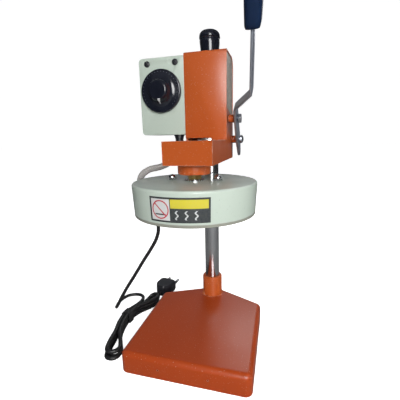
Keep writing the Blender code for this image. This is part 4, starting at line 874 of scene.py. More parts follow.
chrome = finish("hard chrome", {"Metallic": 1.0}, chromed)
bore = COLUMN_RADIUS + SLIT
collar_profile = [
    (bore, COLUMN_FOOT_Z), (COLLAR_RADIUS, COLUMN_FOOT_Z), (COLLAR_RADIUS, COLLAR_TOP_Z - 2.2),
    (COLLAR_RADIUS - 0.3, COLLAR_TOP_Z - 1.5), (COLLAR_RADIUS - 1.5, COLLAR_TOP_Z - 0.25),
    (COLLAR_RADIUS - 2.2, COLLAR_TOP_Z), (bore + 0.3, COLLAR_TOP_Z), (bore, COLLAR_TOP_Z - 0.3),
]
collar = turned("collar_tube", collar_profile, (0.0, 0.0), "Z", orange_enamel, 72, sharp=50.0)
screw_hole = turned("screw hole", bar_shape(3.3, 11.0, 17.5), (0.0, SET_SCREW_Z), "Y", orange_enamel, 24)
fit(carved(collar, screw_hole), "root", "orange_enamel", "column_collar")
bead_tree = tree_of("ring of weld beads", {
    "Radius": "NodeSocketFloat", "Count": "NodeSocketInt", "Bead": "NodeSocketFloat",
    "Height": "NodeSocketFloat", "Seed": "NodeSocketInt",
}, ring_of_beads)
weld = grown("collar_weld", bead_tree, {
    "Radius": WELD_RADIUS, "Count": 46, "Bead": 1.35, "Height": WELD_Z, "Seed": 4,
    "Material": orange_enamel,
})
fit(weld, "root", "orange_enamel")
column_profile = [
    (0.0, COLUMN_FOOT_Z), (COLUMN_RADIUS - 1.0, COLUMN_FOOT_Z), (COLUMN_RADIUS, COLUMN_FOOT_Z + 1.0),
    (COLUMN_RADIUS, COLUMN_TOP_Z - 1.0), (COLUMN_RADIUS - 1.0, COLUMN_TOP_Z), (0.0, COLUMN_TOP_Z),
]
fit(turned("ground_column", column_profile, (0.0, 0.0), "Z", chrome, 96), "root", "chrome", "column")
set_screw = turned("socket_screw", [(0.0, 11.3), (2.95, 11.3), (2.95, 15.4), (2.5, 15.7), (0.0, 15.7)],
                   (0.0, SET_SCREW_Z), "Y", bright_steel, 32)
hexagon = [(SOCKET_RADIUS * math.cos(math.radians(60 * k)), SOCKET_RADIUS * math.sin(math.radians(60 * k)))
           for k in range(6)]
socket = loft("socket", [[(u, y, SET_SCREW_Z + v) for u, v in hexagon] for y in (13.5, 17.0)], bright_steel)
fit(carved(set_screw, socket), "root", "bright_steel", "collar_set_screw")


# ---- Head --------------------------------------------------------------------------------------
# The head's side plates and box arm are one welded frame of 3 mm steel. A folded sheet cover goes
# over its front, top and back, and grey hammer-finished panels close its sides above the frame.
def hammered(place):
    """Hammer paint: dimpled cells of grey and pale flecks in a metallic binder."""
    cells = place.node("ShaderNodeTexVoronoi", {"feature": "SMOOTH_F1"}, {"Vector": place, "Scale": 330.0})
    crystals = place.node("ShaderNodeTexVoronoi", {}, {"Vector": place, "Scale": 620.0}, out="Color")
    flecks = split(crystals)[0]
    tone = cells * 0.5 + flecks * 0.6
    return {
        "Base Color": mixed(tone, (0.16, 0.145, 0.12, 1.0), (0.66, 0.62, 0.54, 1.0)),
        "Roughness": 0.38 + 0.2 * flecks,
        "Metallic": 0.15 + 0.2 * flecks,
        "Normal": bump(cells, 0.5, 0.0006),
    }


hammer_paint = finish("grey hammer paint", {}, hammered)
eased("head_frame", 1.0, orange_enamel, "root", "orange_enamel", "welded_frame", 3)
eased("tower_cover", 0.6, orange_enamel, "root", "orange_enamel", "folded_cover")
eased("side_panel_left", 0.4, hammer_paint, "root", "hammered_grey", "hammered_panel_left")
eased("side_panel_right", 0.4, hammer_paint, "root", "hammered_grey", "hammered_panel_right")


# ---- Control box -------------------------------------------------------------------------------
# A folded steel box in pale mint enamel, screwed to the head's left side. Two black domed screws
# hold its face, and a plated sheet closes its back.
def mint_pattern(place):
    clouds = noise(place, 9.0, 3.0)
    peel = noise(place, 380.0, 1.0)
    specks = noise(place, 1000.0, 0.0) > 0.8
    wiped = noise(place, 35.0, 4.0)
    paint = mixed(clouds, (0.43, 0.50, 0.43, 1.0), (0.50, 0.57, 0.50, 1.0))
    return {
        "Base Color": mixed(specks * 0.4, paint, (0.25, 0.27, 0.24, 1.0)),
        "Roughness": 0.16 + 0.16 * wiped,
        "Normal": bump(peel, 0.12, 0.0004),
    }


mint_enamel = finish("mint enamel", {"Coat Weight": 0.3, "Coat Roughness": 0.08}, mint_pattern)
eased("control_box", 0.5, mint_enamel, "root", "mint_enamel", "folded_box")
paint_node("control_box_back", zinc)
BOX_FRONT_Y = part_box("control_box")[0].y / MM
SCREW_PLACES = ((-81.5, 378.8), (-41.0, 378.8))
for number, place in enumerate(SCREW_PLACES, 1):
    under = BOX_FRONT_Y - SLIT
    dome = [(0.0, BOX_FRONT_Y + 7.0), (2.0, BOX_FRONT_Y + 7.0), (2.0, under), (4.2, under)]
    dome += [(4.2 * math.cos(t), BOX_FRONT_Y - 0.5 - 1.9 * math.sin(t)) for t in (0.15, 0.5, 0.85, 1.2)]
    dome += [(0.0, BOX_FRONT_Y - 2.4)]
    screw = turned(f"box_screw_dome_{number}", dome, place, "Y", black_moulding, 40)
    slots = []
    for half_x, half_z in ((2.1, 0.42), (0.42, 2.1)):
        corners = [(-half_x, -half_z), (half_x, -half_z), (half_x, half_z), (-half_x, half_z)]
        slots.append(loft("driver slot", [[(place[0] + x, y, place[1] + z) for x, z in corners]
                                          for y in (BOX_FRONT_Y - 4.0, BOX_FRONT_Y - 1.2)], black_moulding))
    fit(carved(screw, *slots), "root", "black_plastic", f"box_screw_{number}")


# ---- Thermostat dial ---------------------------------------------------------------------------
# A black phenolic dial with a broad skirt and a raised finger grip, pressed on to the thermostat's
# shaft. A white wedge on the grip points to plain marks moulded round the skirt.
DIAL_PLACE = (-61.5, 342.5)
DIAL_RADIUS = 28.6
DIAL_BACK_Y = -32.2
MARK_RADIUS = 24.8


def phenolic(place):
    swirl = noise(place, 70.0, 4.0)
    grain = noise(place, 900.0, 1.0)
    return {
        "Base Color": mixed(swirl, (0.004, 0.005, 0.010, 1.0), (0.012, 0.014, 0.022, 1.0)),
        "Roughness": 0.10 + 0.16 * swirl,
        "Normal": bump(grain, 0.06, 0.0002),
    }


def arc_of_marks(given):
    """Short raised bars set out on an arc, each lying along its radius."""
    arc_line = given["Radius"].node("GeometryNodeCurveArc", {}, {
        "Resolution": 96, "Radius": given["Radius"],
        "Start Angle": given["Start"], "Sweep Angle": given["Sweep"],
    })
    spots = arc_line.node("GeometryNodeCurveToPoints", {}, {"Curve": arc_line, "Count": given["Count"]})
    turn = Wire(arc_line.tree, spots.socket.node.outputs["Rotation"])
    size = arc_line.node("ShaderNodeCombineXYZ", {}, {
        0: given["Thickness"], 1: given["Length"], 2: given["Width"],
    })
    bar = arc_line.node("GeometryNodeMeshCube", {}, {"Size": size})
    bars = arc_line.node("GeometryNodeInstanceOnPoints", {}, {
        "Points": spots, "Instance": bar, "Rotation": turn,
    })
    return arc_line.node("GeometryNodeTransform", {}, {
        "Geometry": bars, "Translation": given["Place"], "Rotation": given["Turn"],
    })


black_phenolic = finish("black phenolic", {"Specular IOR Level": 0.6}, phenolic)
shaft_bore = 3.3
dial_profile = [(0.0, -39.5), (shaft_bore, -39.5), (shaft_bore, DIAL_BACK_Y), (DIAL_RADIUS, DIAL_BACK_Y)]
dial_profile += [(DIAL_RADIUS - 1.6 * (1.0 - math.cos(t)), DIAL_BACK_Y - 3.4 - 1.6 * math.sin(t))
                 for t in (0.0, 0.4, 0.8, 1.2, 1.57)]
dial_profile += [(22.0, -37.9), (19.0, -38.6), (17.0, -39.6), (15.6, -41.4), (14.6, -44.5), (13.6, -46.9)]
dial_profile += [(13.0 - 2.6 * (1.0 - math.cos(t)), -47.2 - 2.0 * math.sin(t))
                 for t in (0.3, 0.7, 1.1, 1.57)]
dial_profile += [(7.0, -48.9), (0.0, -48.6)]
dial = turned("dial_knob", dial_profile, DIAL_PLACE, "Y", black_phenolic, 96)
fit(dial, "dial", "black_plastic", "thermostat_dial")


# A white wedge let into the grip's flank, its wide end at the front, shows where the dial stands.
def dial_flank(share):
    """Radius and depth of the dial's surface from the grip's front edge to its foot."""
    flank = [(11.4, -49.1), (13.6, -46.9), (14.6, -44.5), (15.6, -41.4), (17.0, -39.6)]
    at = share * (len(flank) - 1)
    k = min(int(at), len(flank) - 2)
    return tuple(a + (b - a) * (at - k) for a, b in zip(flank[k], flank[k + 1]))


white_resin = finish("white filler", {}, lambda place: {
    "Base Color": mixed(noise(place, 300.0, 3.0), (0.70, 0.71, 0.72, 1.0), (0.84, 0.85, 0.86, 1.0)),
    "Roughness": 0.35 + 0.25 * noise(place, 120.0),
})
wedge_rings = []
for step in range(13):
    share = step / 12.0
    radius, depth = dial_flank(share)
    half, aside = 1.9 - 1.65 * share, 1.9 - 1.7 * share
    face = half * 0.9
    wedge_rings.append([
        (DIAL_PLACE[0] + aside + u, depth + v, DIAL_PLACE[1] - radius - w)
        for u, v, w in ((-half, 0.3, -0.4), (half, 0.3, -0.4), (face, -0.22, 0.2), (-face, -0.22, 0.2))
    ])
fit(loft("dial_wedge", wedge_rings, white_resin), "dial", "black_plastic")
mark_tree = tree_of("arc of marks", {
    "Radius": "NodeSocketFloat", "Start": "NodeSocketFloat", "Sweep": "NodeSocketFloat",
    "Count": "NodeSocketInt", "Thickness": "NodeSocketFloat", "Length": "NodeSocketFloat",
    "Width": "NodeSocketFloat", "Place": "NodeSocketVector", "Turn": "NodeSocketVector",
}, arc_of_marks)
pale_marks = finish("worn marks", {}, lambda place: {
    "Base Color": mixed(noise(place, 260.0, 3.0), (0.03, 0.03, 0.04, 1.0), (0.22, 0.23, 0.26, 1.0)),
    "Roughness": 0.3 + 0.3 * noise(place, 90.0),
})
marks = grown("dial_marks", mark_tree, {
    "Radius": MARK_RADIUS, "Start": math.radians(-45.0), "Sweep": math.radians(270.0), "Count": 28,
    "Thickness": 0.45, "Length": 2.6, "Width": 0.3, "Material": pale_marks,
    "Place": (DIAL_PLACE[0], DIAL_BACK_Y - 5.25, DIAL_PLACE[1]), "Turn": (math.radians(90.0), 0.0, 0.0),
})
fit(marks, "dial", "black_plastic")
steel_bar = finish("turned steel", {"Metallic": 1.0}, lambda place: {
    "Base Color": mixed(noise(place, 90.0, 4.0), (0.42, 0.41, 0.40, 1.0), (0.62, 0.61, 0.60, 1.0)),
    "Roughness": 0.24 + 0.2 * noise(place, 200.0, 4.0),
})
paint_node("thermostat_shaft", steel_bar)
paint_node("thermostat_body", black_moulding)


# ---- Platen cover ------------------------------------------------------------------------------
# A spun steel cover in the same mint enamel, 150 mm across and open below, hides the heater. Its
# foot is a narrow turned-in rim whose paint has darkened with the heat.
PLATEN_PLACE = (0.0, -91.4)
PLATEN_RADIUS = 75.0
PLATEN_FOOT_RADIUS = 73.2
PLATEN_BOTTOM_Z = 190.3
PLATEN_TOP_Z = 228.2
PLATEN_SHEET = 1.5
STUD_X = 28.8
BURN_TOP_Z = 193.7              # below it the paint has browned


def platen_paint(place):
    x, y, z = split(place)
    parts = mint_pattern(place)
    burnt = (BURN_TOP_Z * MM - z) * 900.0 + noise(place, 60.0, 4.0) * 0.8
    toned = burnt.node("ShaderNodeClamp", {}, {0: burnt})
    parts["Base Color"] = mixed(toned * 0.75, parts["Base Color"], (0.19, 0.17, 0.135, 1.0))
    return parts


heated_mint = finish("mint enamel by the heater", {
    "Coat Weight": 0.3, "Coat Roughness": 0.08,
}, platen_paint)
inner_top = PLATEN_TOP_Z - PLATEN_SHEET
foot_in = PLATEN_FOOT_RADIUS - PLATEN_SHEET
edge_round = [(PLATEN_RADIUS - 2.4 * (1.0 - math.cos(t)), PLATEN_TOP_Z - 2.4 * (1.0 - math.sin(t)))
              for t in (0.0, 0.26, 0.52, 0.79, 1.05, 1.31, 1.57)]
cover_profile = [
    (6.3, inner_top), (PLATEN_RADIUS - 3.5, inner_top), (PLATEN_RADIUS - 1.6, inner_top - 1.6),
    (foot_in, PLATEN_BOTTOM_Z),
    (foot_in + 0.2, PLATEN_BOTTOM_Z), (PLATEN_FOOT_RADIUS - 0.2, PLATEN_BOTTOM_Z),
    (PLATEN_FOOT_RADIUS, PLATEN_BOTTOM_Z + 0.3), (PLATEN_FOOT_RADIUS + 0.06, PLATEN_BOTTOM_Z + 1.5),
] + edge_round + [(6.6, PLATEN_TOP_Z), (6.3, PLATEN_TOP_Z - 0.3)]
cover = turned("spun_cover", cover_profile, PLATEN_PLACE, "Z", heated_mint, 160)
stud_hole = bar_shape(3.3, 220.0, 232.0)
stud_holes = [turned("stud hole", stud_hole, (side * STUD_X, PLATEN_PLACE[1]), "Z", heated_mint, 24)
              for side in (-1.0, 1.0)]
fit(carved(cover, *stud_holes), "platen", "mint_enamel", "platen_cover")


# ---- Label -------------------------------------------------------------------------------------
# A laminated vinyl sign on the cover's front, 65 by 26 mm: a black border, a white panel with a
# plain red ring, a yellow band, and a black panel with rising waves for heat.
LABEL_FROM_DEG = -21.8
LABEL_TO_DEG = 28.0
LABEL_BOTTOM_Z = 196.0
LABEL_TOP_Z = 222.0
LABEL_THICKNESS = 0.5
LABEL_LEFT = 28.5               # from the sign's left end to the front of the cover, round the wall
PANEL_SPAN = ((2.0, 23.6), (1.9, 24.1))
BAND_SPAN = ((24.4, 63.2), (14.9, 24.1))
RING_CENTRE = (12.8, 13.0)
RING_RADII = (8.5, 9.8)
WAVE_STARTS = (31.0, 41.0, 51.0)
WAVE_SPAN = (3.2, 12.6)


def within(wire, low, high):
    """1 where a number lies between two others."""
    return (wire > low) * (wire < high)


def sign(place):
    """The printed sign, drawn from millimetres along the wall and up it."""
    x, y, z = split(place)
    turn = x.math("ARCTAN2", x, PLATEN_PLACE[1] * MM - y)
    along = turn * PLATEN_RADIUS + LABEL_LEFT
    up = z * (1.0 / MM) - LABEL_BOTTOM_Z
    panel = within(along, *PANEL_SPAN[0]) * within(up, *PANEL_SPAN[1])
    band = within(along, *BAND_SPAN[0]) * within(up, *BAND_SPAN[1])
    right, above = along - RING_CENTRE[0], up - RING_CENTRE[1]
    reach = along.math("POWER", right * right + above * above, 0.5)
    circle = within(reach, *RING_RADII)
    slash = (abs(right + above) < 0.95) * (reach < 9.0)
    bar = within(along, 6.5, 19.0) * within(up, 7.3, 8.7)
    waves = along * 0.0
    for start in WAVE_STARTS:
        sway = along.math("SINE", up * 1.05) * 1.1
        waves = waves + (abs(along - start - sway) < 0.85) * within(up, *WAVE_SPAN)
    wear = noise(place, 400.0, 3.0)
    inked = mixed(panel, (0.012, 0.016, 0.020, 1.0), (0.60, 0.61, 0.60, 1.0))
    inked = mixed(band, inked, (0.60, 0.52, 0.02, 1.0))
    inked = mixed(waves, inked, (0.58, 0.60, 0.60, 1.0))
    inked = mixed(panel * bar, inked, (0.02, 0.02, 0.025, 1.0))
    inked = mixed(panel * (circle + slash), inked, (0.50, 0.03, 0.05, 1.0))
    return {
        "Base Color": mixed(wear * 0.18, inked, (0.30, 0.31, 0.30, 1.0)),
        "Roughness": 0.22 + 0.2 * wear,
        "Normal": bump(wear, 0.05, 0.0002),
    }


def wall_radius(z):
    """Outside radius of the cover's wall at a height."""
    share = (z - PLATEN_BOTTOM_Z) / (PLATEN_TOP_Z - 2.4 - PLATEN_BOTTOM_Z)
    return PLATEN_FOOT_RADIUS + (PLATEN_RADIUS - PLATEN_FOOT_RADIUS) * share


label_vinyl = finish("printed vinyl", {"Coat Weight": 0.25}, sign)
label_rings = []
for step in range(57):
    turn = math.radians(LABEL_FROM_DEG + (LABEL_TO_DEG - LABEL_FROM_DEG) * step / 56.0)
    outline = []
    for lift, z in ((0.08, LABEL_BOTTOM_Z), (LABEL_THICKNESS - 0.1, LABEL_BOTTOM_Z),
                    (LABEL_THICKNESS, LABEL_BOTTOM_Z + 0.1), (LABEL_THICKNESS, LABEL_TOP_Z - 0.1),
                    (LABEL_THICKNESS - 0.1, LABEL_TOP_Z), (0.08, LABEL_TOP_Z)):
        radius = wall_radius(z) + lift
        outline.append((radius * math.sin(turn), PLATEN_PLACE[1] - radius * math.cos(turn), z))
    label_rings.append(outline)
fit(loft("wall_sign", label_rings, label_vinyl), "platen", "label_film", "platen_label")


# ---- Heater ------------------------------------------------------------------------------------
# Under the cover a turned aluminium plate does the pressing. A ring-shaped steel-sheathed element
# lies on it, and a pressed ceramic-fibre disc keeps the heat from the cover.
HOT_PLATE_RADIUS = 70.7
HOT_PLATE_LOW_Z = 192.7
HOT_PLATE_TOP_Z = 203.7


def turned_face(place):
    """Fine tool rings round the platen's axis, dulled by use."""
    x, y, z = split(place)
    back = y - PLATEN_PLACE[1] * MM
    far = x.math("POWER", x * x + back * back, 0.5)
    rings = far.node("ShaderNodeTexNoise", {"noise_dimensions": "1D"}, {
        "W": far, "Scale": 2600.0, "Detail": 2.0,
    })
    stain = noise(place, 30.0, 5.0)
    return {
        "Base Color": mixed(stain, (0.50, 0.49, 0.48, 1.0), (0.74, 0.74, 0.74, 1.0)),
        "Roughness": 0.22 + 0.22 * rings + 0.12 * stain,
        "Normal": bump(rings, 0.2, 0.0002),
    }


def fibre(place):
    fluff = noise(place, 700.0, 6.0)
    return {
        "Base Color": mixed(fluff, (0.50, 0.47, 0.41, 1.0), (0.76, 0.74, 0.69, 1.0)),
        "Roughness": 0.85 + 0.1 * fluff,
        "Normal": bump(fluff, 0.5, 0.0006),
    }


aluminium = finish("turned aluminium", {"Metallic": 1.0}, turned_face)
ceramic_fibre = finish("ceramic fibre", {}, fibre)
plate_profile = [
    (0.0, HOT_PLATE_LOW_Z), (HOT_PLATE_RADIUS - 1.2, HOT_PLATE_LOW_Z),
    (HOT_PLATE_RADIUS - 0.5, HOT_PLATE_LOW_Z + 0.3), (HOT_PLATE_RADIUS, HOT_PLATE_LOW_Z + 1.0),
    (HOT_PLATE_RADIUS, HOT_PLATE_TOP_Z - 0.8),
    (HOT_PLATE_RADIUS - 0.8, HOT_PLATE_TOP_Z), (0.0, HOT_PLATE_TOP_Z),
]
hot_plate = turned("pressing_plate", plate_profile, PLATEN_PLACE, "Z", aluminium, 128)
fit(hot_plate, "platen", "aluminium", "heater_plate")
paint_node("heater_element", steel_bar)
paint_node("insulation_disc", ceramic_fibre)


# ---- Platen fixings ----------------------------------------------------------------------------
# Two studs come up through the cover and end in plated dome nuts. The plunger comes up in the
# middle, through a washer and a brass hexagon nut that clamp the cover.
NUT_LOW_Z = 228.5
NUT_RADIUS = 5.8
HUB_NUT_RADIUS = 8.8


def hexagon_rings(centre, radius, low, high, ease):
    """A hexagon bar's rings, its corners turned off at both ends."""
    rings = []
    small, step = radius - ease, ease * 0.6
    for size, z in ((small, low), (radius, low + step), (radius, high - step), (small, high)):
        rings.append([(centre[0] + size * math.cos(math.radians(60.0 * k)),
                       centre[1] + size * math.sin(math.radians(60.0 * k)), z) for k in range(6)])
    return rings


def brass_pattern(place):
    tarnish = noise(place, 140.0, 5.0)
    return {
        "Base Color": mixed(tarnish, (0.42, 0.28, 0.10, 1.0), (0.72, 0.53, 0.22, 1.0)),
        "Roughness": 0.18 + 0.25 * tarnish,
        "Normal": bump(tarnish, 0.08, 0.0002),
    }


brass = finish("machined brass", {"Metallic": 1.0}, brass_pattern)
for number, side in ((1, -1.0), (2, 1.0)):
    centre = (side * STUD_X, PLATEN_PLACE[1])
    sides = hexagon_rings(centre, NUT_RADIUS, NUT_LOW_Z, NUT_LOW_Z + 3.2, 0.5)
    nut = loft(f"nut_body_{number}", sides, bright_steel)
    dome = [(0.0, NUT_LOW_Z + 2.9), (4.5, NUT_LOW_Z + 2.9), (4.5, NUT_LOW_Z + 3.6)]
    dome += [(4.5 * math.cos(t), NUT_LOW_Z + 3.6 + 3.6 * math.sin(t))
             for t in (0.25, 0.5, 0.75, 1.0, 1.25, 1.45)]
    cap = turned(f"nut_dome_{number}", dome + [(0.0, NUT_LOW_Z + 7.2)], centre, "Z", bright_steel, 40)
    fit(nut, "platen", "bright_steel", f"platen_nut_{number}")
    fit(cap, "platen", "bright_steel")
    paint_node(f"platen_stud_{number}", steel_bar)
washer_profile = [(6.3, NUT_LOW_Z), (12.2, NUT_LOW_Z), (12.4, NUT_LOW_Z + 0.2), (12.4, NUT_LOW_Z + 1.1),
                  (12.1, NUT_LOW_Z + 1.4), (6.3, NUT_LOW_Z + 1.4)]
washer = turned("flat_washer", washer_profile, PLATEN_PLACE, "Z", bright_steel, 64)
fit(washer, "platen", "bright_steel", "hub_washer")
hub_nut = loft("hub_hexagon", hexagon_rings(PLATEN_PLACE, HUB_NUT_RADIUS, 230.2, 235.7, 0.7), brass)
hub_bore = turned("hub bore", bar_shape(6.3, 229.0, 237.0), PLATEN_PLACE, "Z", brass, 48)
fit(carved(hub_nut, hub_bore), "platen", "brass", "hub_nut")


# ---- Plunger and its guide ---------------------------------------------------------------------
# The platen hangs on a hard-chromed plunger, 12 mm thick. It slides in a brass bush inside an
# enamelled boss that is welded under the end of the arm.
GUIDE_BOTTOM_Z = 236.3
GUIDE_TOP_Z = 248.0
GUIDE_RADIUS = 20.0
PLUNGER_RADIUS = 6.0

guide_profile = [
    (9.0, GUIDE_BOTTOM_Z + 0.3), (9.3, GUIDE_BOTTOM_Z), (GUIDE_RADIUS - 1.6, GUIDE_BOTTOM_Z),
    (GUIDE_RADIUS - 0.5, GUIDE_BOTTOM_Z + 0.5), (GUIDE_RADIUS, GUIDE_BOTTOM_Z + 1.6),
    (GUIDE_RADIUS, GUIDE_TOP_Z), (14.0, GUIDE_TOP_Z), (14.0, 244.6), (9.0, 244.6),
]
boss = turned("guide_boss", guide_profile, PLATEN_PLACE, "Z", orange_enamel, 80)
fit(boss, "root", "orange_enamel", "plunger_guide")
boss_weld = grown("boss_weld", bead_tree, {
    "Radius": GUIDE_RADIUS - 0.3, "Count": 50, "Bead": 0.9, "Height": GUIDE_TOP_Z - 0.5, "Seed": 9,
    "Material": orange_enamel,
})
for vertex in boss_weld.data.vertices:
    vertex.co.y += PLATEN_PLACE[1] * MM
fit(boss_weld, "root", "orange_enamel")
bush_profile = [(6.3, GUIDE_BOTTOM_Z), (8.7, GUIDE_BOTTOM_Z), (8.7, 244.6), (6.3, 244.6)]
fit(turned("bronze_bush", bush_profile, PLATEN_PLACE, "Z", brass, 64), "root", "brass", "guide_bush")
plunger_profile = [
    (0.0, 204.0), (PLUNGER_RADIUS, 204.0), (PLUNGER_RADIUS, 261.5), (PLUNGER_RADIUS - 0.5, 262.0),
    (3.2, 262.0), (3.2, 268.0),
    (PLUNGER_RADIUS - 0.4, 268.0), (PLUNGER_RADIUS, 268.4), (PLUNGER_RADIUS, 271.2),
    (PLUNGER_RADIUS - 0.4, 271.6), (0.0, 271.6),
]
plunger = turned("chromed_plunger", plunger_profile, PLATEN_PLACE, "Z", chrome, 64)
fit(plunger, "platen", "chrome", "plunger")


# ---- Heater lead -------------------------------------------------------------------------------
# A braided glass-cloth lead takes the heater's current from the arm down to the platen. It is
# slack, so that it can follow the platen on its way down.
LEAD_Y = -48.4
LEAD_LOW_Z = 228.5
LEAD_TOP_Z = 248.0
LEAD_RADIUS = 2.0
LEAD_BELLY = 4.0

lead_rise = LEAD_TOP_Z - LEAD_LOW_Z
lead_slack = ((0.0, 0.0), (0.0, 0.2), (1.0, 0.45), (1.0, 0.55), (0.0, 0.8), (0.0, 1.0))
lead_route = [(belly * LEAD_BELLY, LEAD_Y + belly * LEAD_BELLY, LEAD_LOW_Z + share * lead_rise)
              for belly, share in lead_slack]
lead = loft("braided_lead", line_rings(smooth_line(lead_route, 0.6), LEAD_RADIUS, 20), glass_braid)
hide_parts("heater_lead")
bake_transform(lead)


# ---- Lever -------------------------------------------------------------------------------------
# A zinc-plated flat steel bar, 25 by 3.5 mm, is joggled outward above its pivot and pointed at its
# foot. A hexagon-headed shaft carries it, and a domed bolt below guides its foot.
LEVER_Y = -14.0
LEVER_Z = 304.0
LEVER_LEAN_DEG = 32.0
BAR_OUTER_X = 41.3
GUIDE_BOLT_PLACE = (12.0, 276.0)
SPACER_LOW_X = 29.3
SPACER_HIGH_X = 37.5


def drawn(place):
    """Bright zinc on drawn flat bar: fine lines along it, a blue cast, and finger smears."""
    lean = math.radians(LEVER_LEAN_DEG)
    along = place.node("ShaderNodeMapping", {}, {
        0: place, "Rotation": (-lean, 0.0, 0.0), "Scale": (1.0, 1.0, 0.02),
    })
    lines = noise(along, 900.0, 3.0)
    smears = noise(place, 40.0, 4.0)
    return {
        "Base Color": mixed(smears, (0.36, 0.39, 0.46, 1.0), (0.55, 0.59, 0.67, 1.0)),
        "Roughness": 0.25 + 0.15 * lines + 0.15 * smears,
        "Normal": bump(lines, 0.12, 0.0002),
    }


drawn_zinc = finish("drawn zinc", {"Metallic": 1.0}, drawn)
eased("lever_bar", 0.8, drawn_zinc, "lever", "zinc_plate", "joggled_bar", 3)
eased("lever_shaft", 0.5, zinc, "lever", "zinc_plate", "pivot_shaft")
bolt_profile = [(0.0, 30.0), (4.0, 30.0), (4.0, BAR_OUTER_X + SLIT), (6.0, BAR_OUTER_X + SLIT), (6.0, 43.6)]
bolt_profile += [(6.0 * math.cos(t), 43.6 + 3.3 * math.sin(t)) for t in (0.2, 0.45, 0.7, 0.95, 1.2, 1.42)]
bolt = turned("domed_bolt", bolt_profile + [(0.0, 47.0)], GUIDE_BOLT_PLACE, "X", zinc, 48)
fit(bolt, "lever", "zinc_plate", "guide_bolt")
for name, place, stands_for in (("pivot_boss", (LEVER_Y, LEVER_Z), "pivot_spacer"),
                                ("guide_boss_tube", GUIDE_BOLT_PLACE, "guide_spacer")):
    body = "root" if stands_for == "pivot_spacer" else "lever"
    tube = [(4.3, SPACER_LOW_X), (5.2, SPACER_LOW_X), (5.5, SPACER_LOW_X + 0.3), (5.5, SPACER_HIGH_X - 0.3),
            (5.2, SPACER_HIGH_X), (4.3, SPACER_HIGH_X)]
    fit(turned(name, tube, place, "X", orange_enamel, 48), body, "orange_enamel", stands_for)
eased("lever_cam", 0.4, steel_bar, "lever", "bright_steel", "press_cam")


# ---- Grip --------------------------------------------------------------------------------------
# A navy plastic handle is pushed over the bar's end. It is a rounded oblong, 100 mm long, with a
# fine leather grain, a moulding seam along both edges and a collar at its mouth.
GRIP_START = 110.0
GRIP_END = 210.0
GRIP_HALF_X = 8.75
GRIP_HALF_W = 16.0
GRIP_SWELL = 2.2
GRIP_MIDDLE_X = 61.25           # middle of the bar where its splay begins
SPLAY_START = 36.0
BAR_SPLAY = 0.057
BAR_END = 196.0


def lever_point(along, across):
    """Depth and height of a point on the bar: along it from the shaft, and across it to the rear."""
    lean = math.radians(LEVER_LEAN_DEG)
    return (LEVER_Y - along * math.sin(lean) + across * math.cos(lean),
            LEVER_Z + along * math.cos(lean) + across * math.sin(lean))


def bar_middle(along):
    return GRIP_MIDDLE_X + BAR_SPLAY * (along - SPLAY_START)


def grip_scale(share):
    """The grip's girth along its length: a small lip at the mouth and a round end."""
    if share < 0.04:
        return 0.90 + 0.10 * math.sin(share / 0.04 * math.pi / 2.0)
    if share > 0.86:
        return 0.72 + 0.28 * math.sqrt(max(0.0, 1.0 - ((share - 0.86) / 0.14) ** 2))
    return 1.0


def navy_pattern(place):
    hide = place.node("ShaderNodeTexVoronoi", {}, {"Vector": place, "Scale": 900.0})
    worn = noise(place, 25.0, 4.0)
    return {
        "Base Color": mixed(worn, (0.002, 0.012, 0.042, 1.0), (0.006, 0.022, 0.068, 1.0)),
        "Roughness": 0.36 + 0.22 * worn,
        "Normal": bump(hide, 0.22, 0.0003),
    }


navy_plastic = finish("navy plastic", {"Specular IOR Level": 0.3}, navy_pattern)
grip_rings = []
for step in range(41):
    share = step / 40.0
    swell = GRIP_SWELL * math.sin(math.pi * share)
    half_x = (GRIP_HALF_X + swell / 2.0) * grip_scale(share)
    half_w = (GRIP_HALF_W + swell) * grip_scale(share)
    outline = rounded([(-half_x, -half_w), (half_x, -half_w), (half_x, half_w), (-half_x, half_w)],
                      [half_x * 0.7] * 4, 8)
    along = GRIP_START + (GRIP_END - GRIP_START) * share
    grip_rings.append([(bar_middle(along) + u, *lever_point(along, v)) for u, v in outline])
grip = loft("navy_grip", grip_rings, navy_plastic, sharp=50.0)
mouth = []
for along in (GRIP_START - 5.0, BAR_END + SLIT):
    corners = ((-2.05, -12.8), (2.05, -12.8), (2.05, 12.8), (-2.05, 12.8))
    mouth.append([(bar_middle(along) + u, *lever_point(along, v)) for u, v in corners])
fit(carved(grip, loft("grip mouth", mouth, navy_plastic)), "lever", "navy_plastic", "lever_grip")


# ---- Pressure knob -----------------------------------------------------------------------------
# A black phenolic knob, 32 mm high, screws down the spindle that the rocker hangs from and so sets
# the pressure. Its cap is set off by a groove.
KNOB_LOW_Z = 390.6

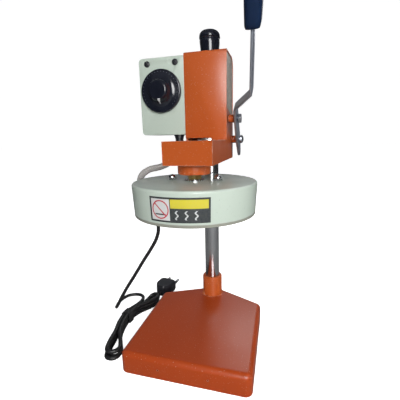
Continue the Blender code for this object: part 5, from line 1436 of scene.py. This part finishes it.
knob_profile = [(0.0, 408.9), (4.3, 408.9), (4.3, KNOB_LOW_Z), (12.0, KNOB_LOW_Z), (12.4, KNOB_LOW_Z + 0.4),
                (12.7, 395.0), (13.1, 400.0), (13.7, 405.5), (14.1, 409.6), (13.9, 410.2), (13.4, 410.5),
                (13.3, 411.1), (13.5, 411.7), (14.2, 412.1), (14.5, 412.8), (14.6, 414.0), (14.4, 416.2),
                (13.9, 418.2), (12.8, 420.0), (11.2, 421.3), (9.0, 422.1), (5.0, 422.5), (0.0, 422.6)]
knob = turned("tension_grip", knob_profile, (0.0, 0.0), "Z", black_phenolic, 96, sharp=60.0)
fit(knob, "knob", "black_plastic", "tension_knob")
paint_node("tension_spindle", steel_bar)


# ---- Works inside the head ---------------------------------------------------------------------
# The cam pushes a steel rocker down; it hangs from a block on the spindle, and a long spring under
# the tower's roof lifts it again. A split block and a screw clamp the head to the column.
SPRING_PLACE = (-17.0, -23.5)
SPRING_LOW_Z = 282.9
SPRING_HIGH_Z = 365.1
SPRING_RADIUS = 2.6
SPRING_WIRE = 0.6


def coil(given):
    """Round wire wound to a helix of even pitch."""
    wire = given["Radius"].node("GeometryNodeCurveSpiral", {}, {
        "Resolution": 20, "Rotations": given["Turns"], "Start Radius": given["Radius"],
        "End Radius": given["Radius"], "Height": given["Height"], "Reverse": False,
    })
    section = wire.node("GeometryNodeCurvePrimitiveCircle", {}, {"Resolution": 8, "Radius": given["Wire"]})
    mesh = wire.node("GeometryNodeCurveToMesh", {}, {
        "Curve": wire, "Profile Curve": section, "Fill Caps": True,
    })
    return wire.node("GeometryNodeTransform", {}, {"Geometry": mesh, "Translation": given["Place"]})


coil_tree = tree_of("coil", {
    "Radius": "NodeSocketFloat", "Turns": "NodeSocketFloat", "Height": "NodeSocketFloat",
    "Wire": "NodeSocketFloat", "Place": "NodeSocketVector",
}, coil)
spring = grown("lifting_spring", coil_tree, {
    "Radius": SPRING_RADIUS, "Turns": 30.0, "Height": SPRING_HIGH_Z - SPRING_LOW_Z, "Wire": SPRING_WIRE,
    "Place": (*SPRING_PLACE, SPRING_LOW_Z), "Material": steel_bar,
})
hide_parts("return_spring")
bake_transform(spring)
eased("rocker", 0.4, steel_bar, "rocker", "bright_steel", "rocker_arm")
eased("fulcrum_block", 0.4, steel_bar, "root", "bright_steel", "hanging_block")
eased("clamp_block", 0.5, steel_bar, "root", "bright_steel", "column_clamp")
eased("clamp_screw", 0.4, zinc, "root", "zinc_plate", "clamp_bolt")
for node in ("fulcrum_pin", "spring_hanger"):
    paint_node(node, steel_bar)
paint_node("spindle_nut", brass)
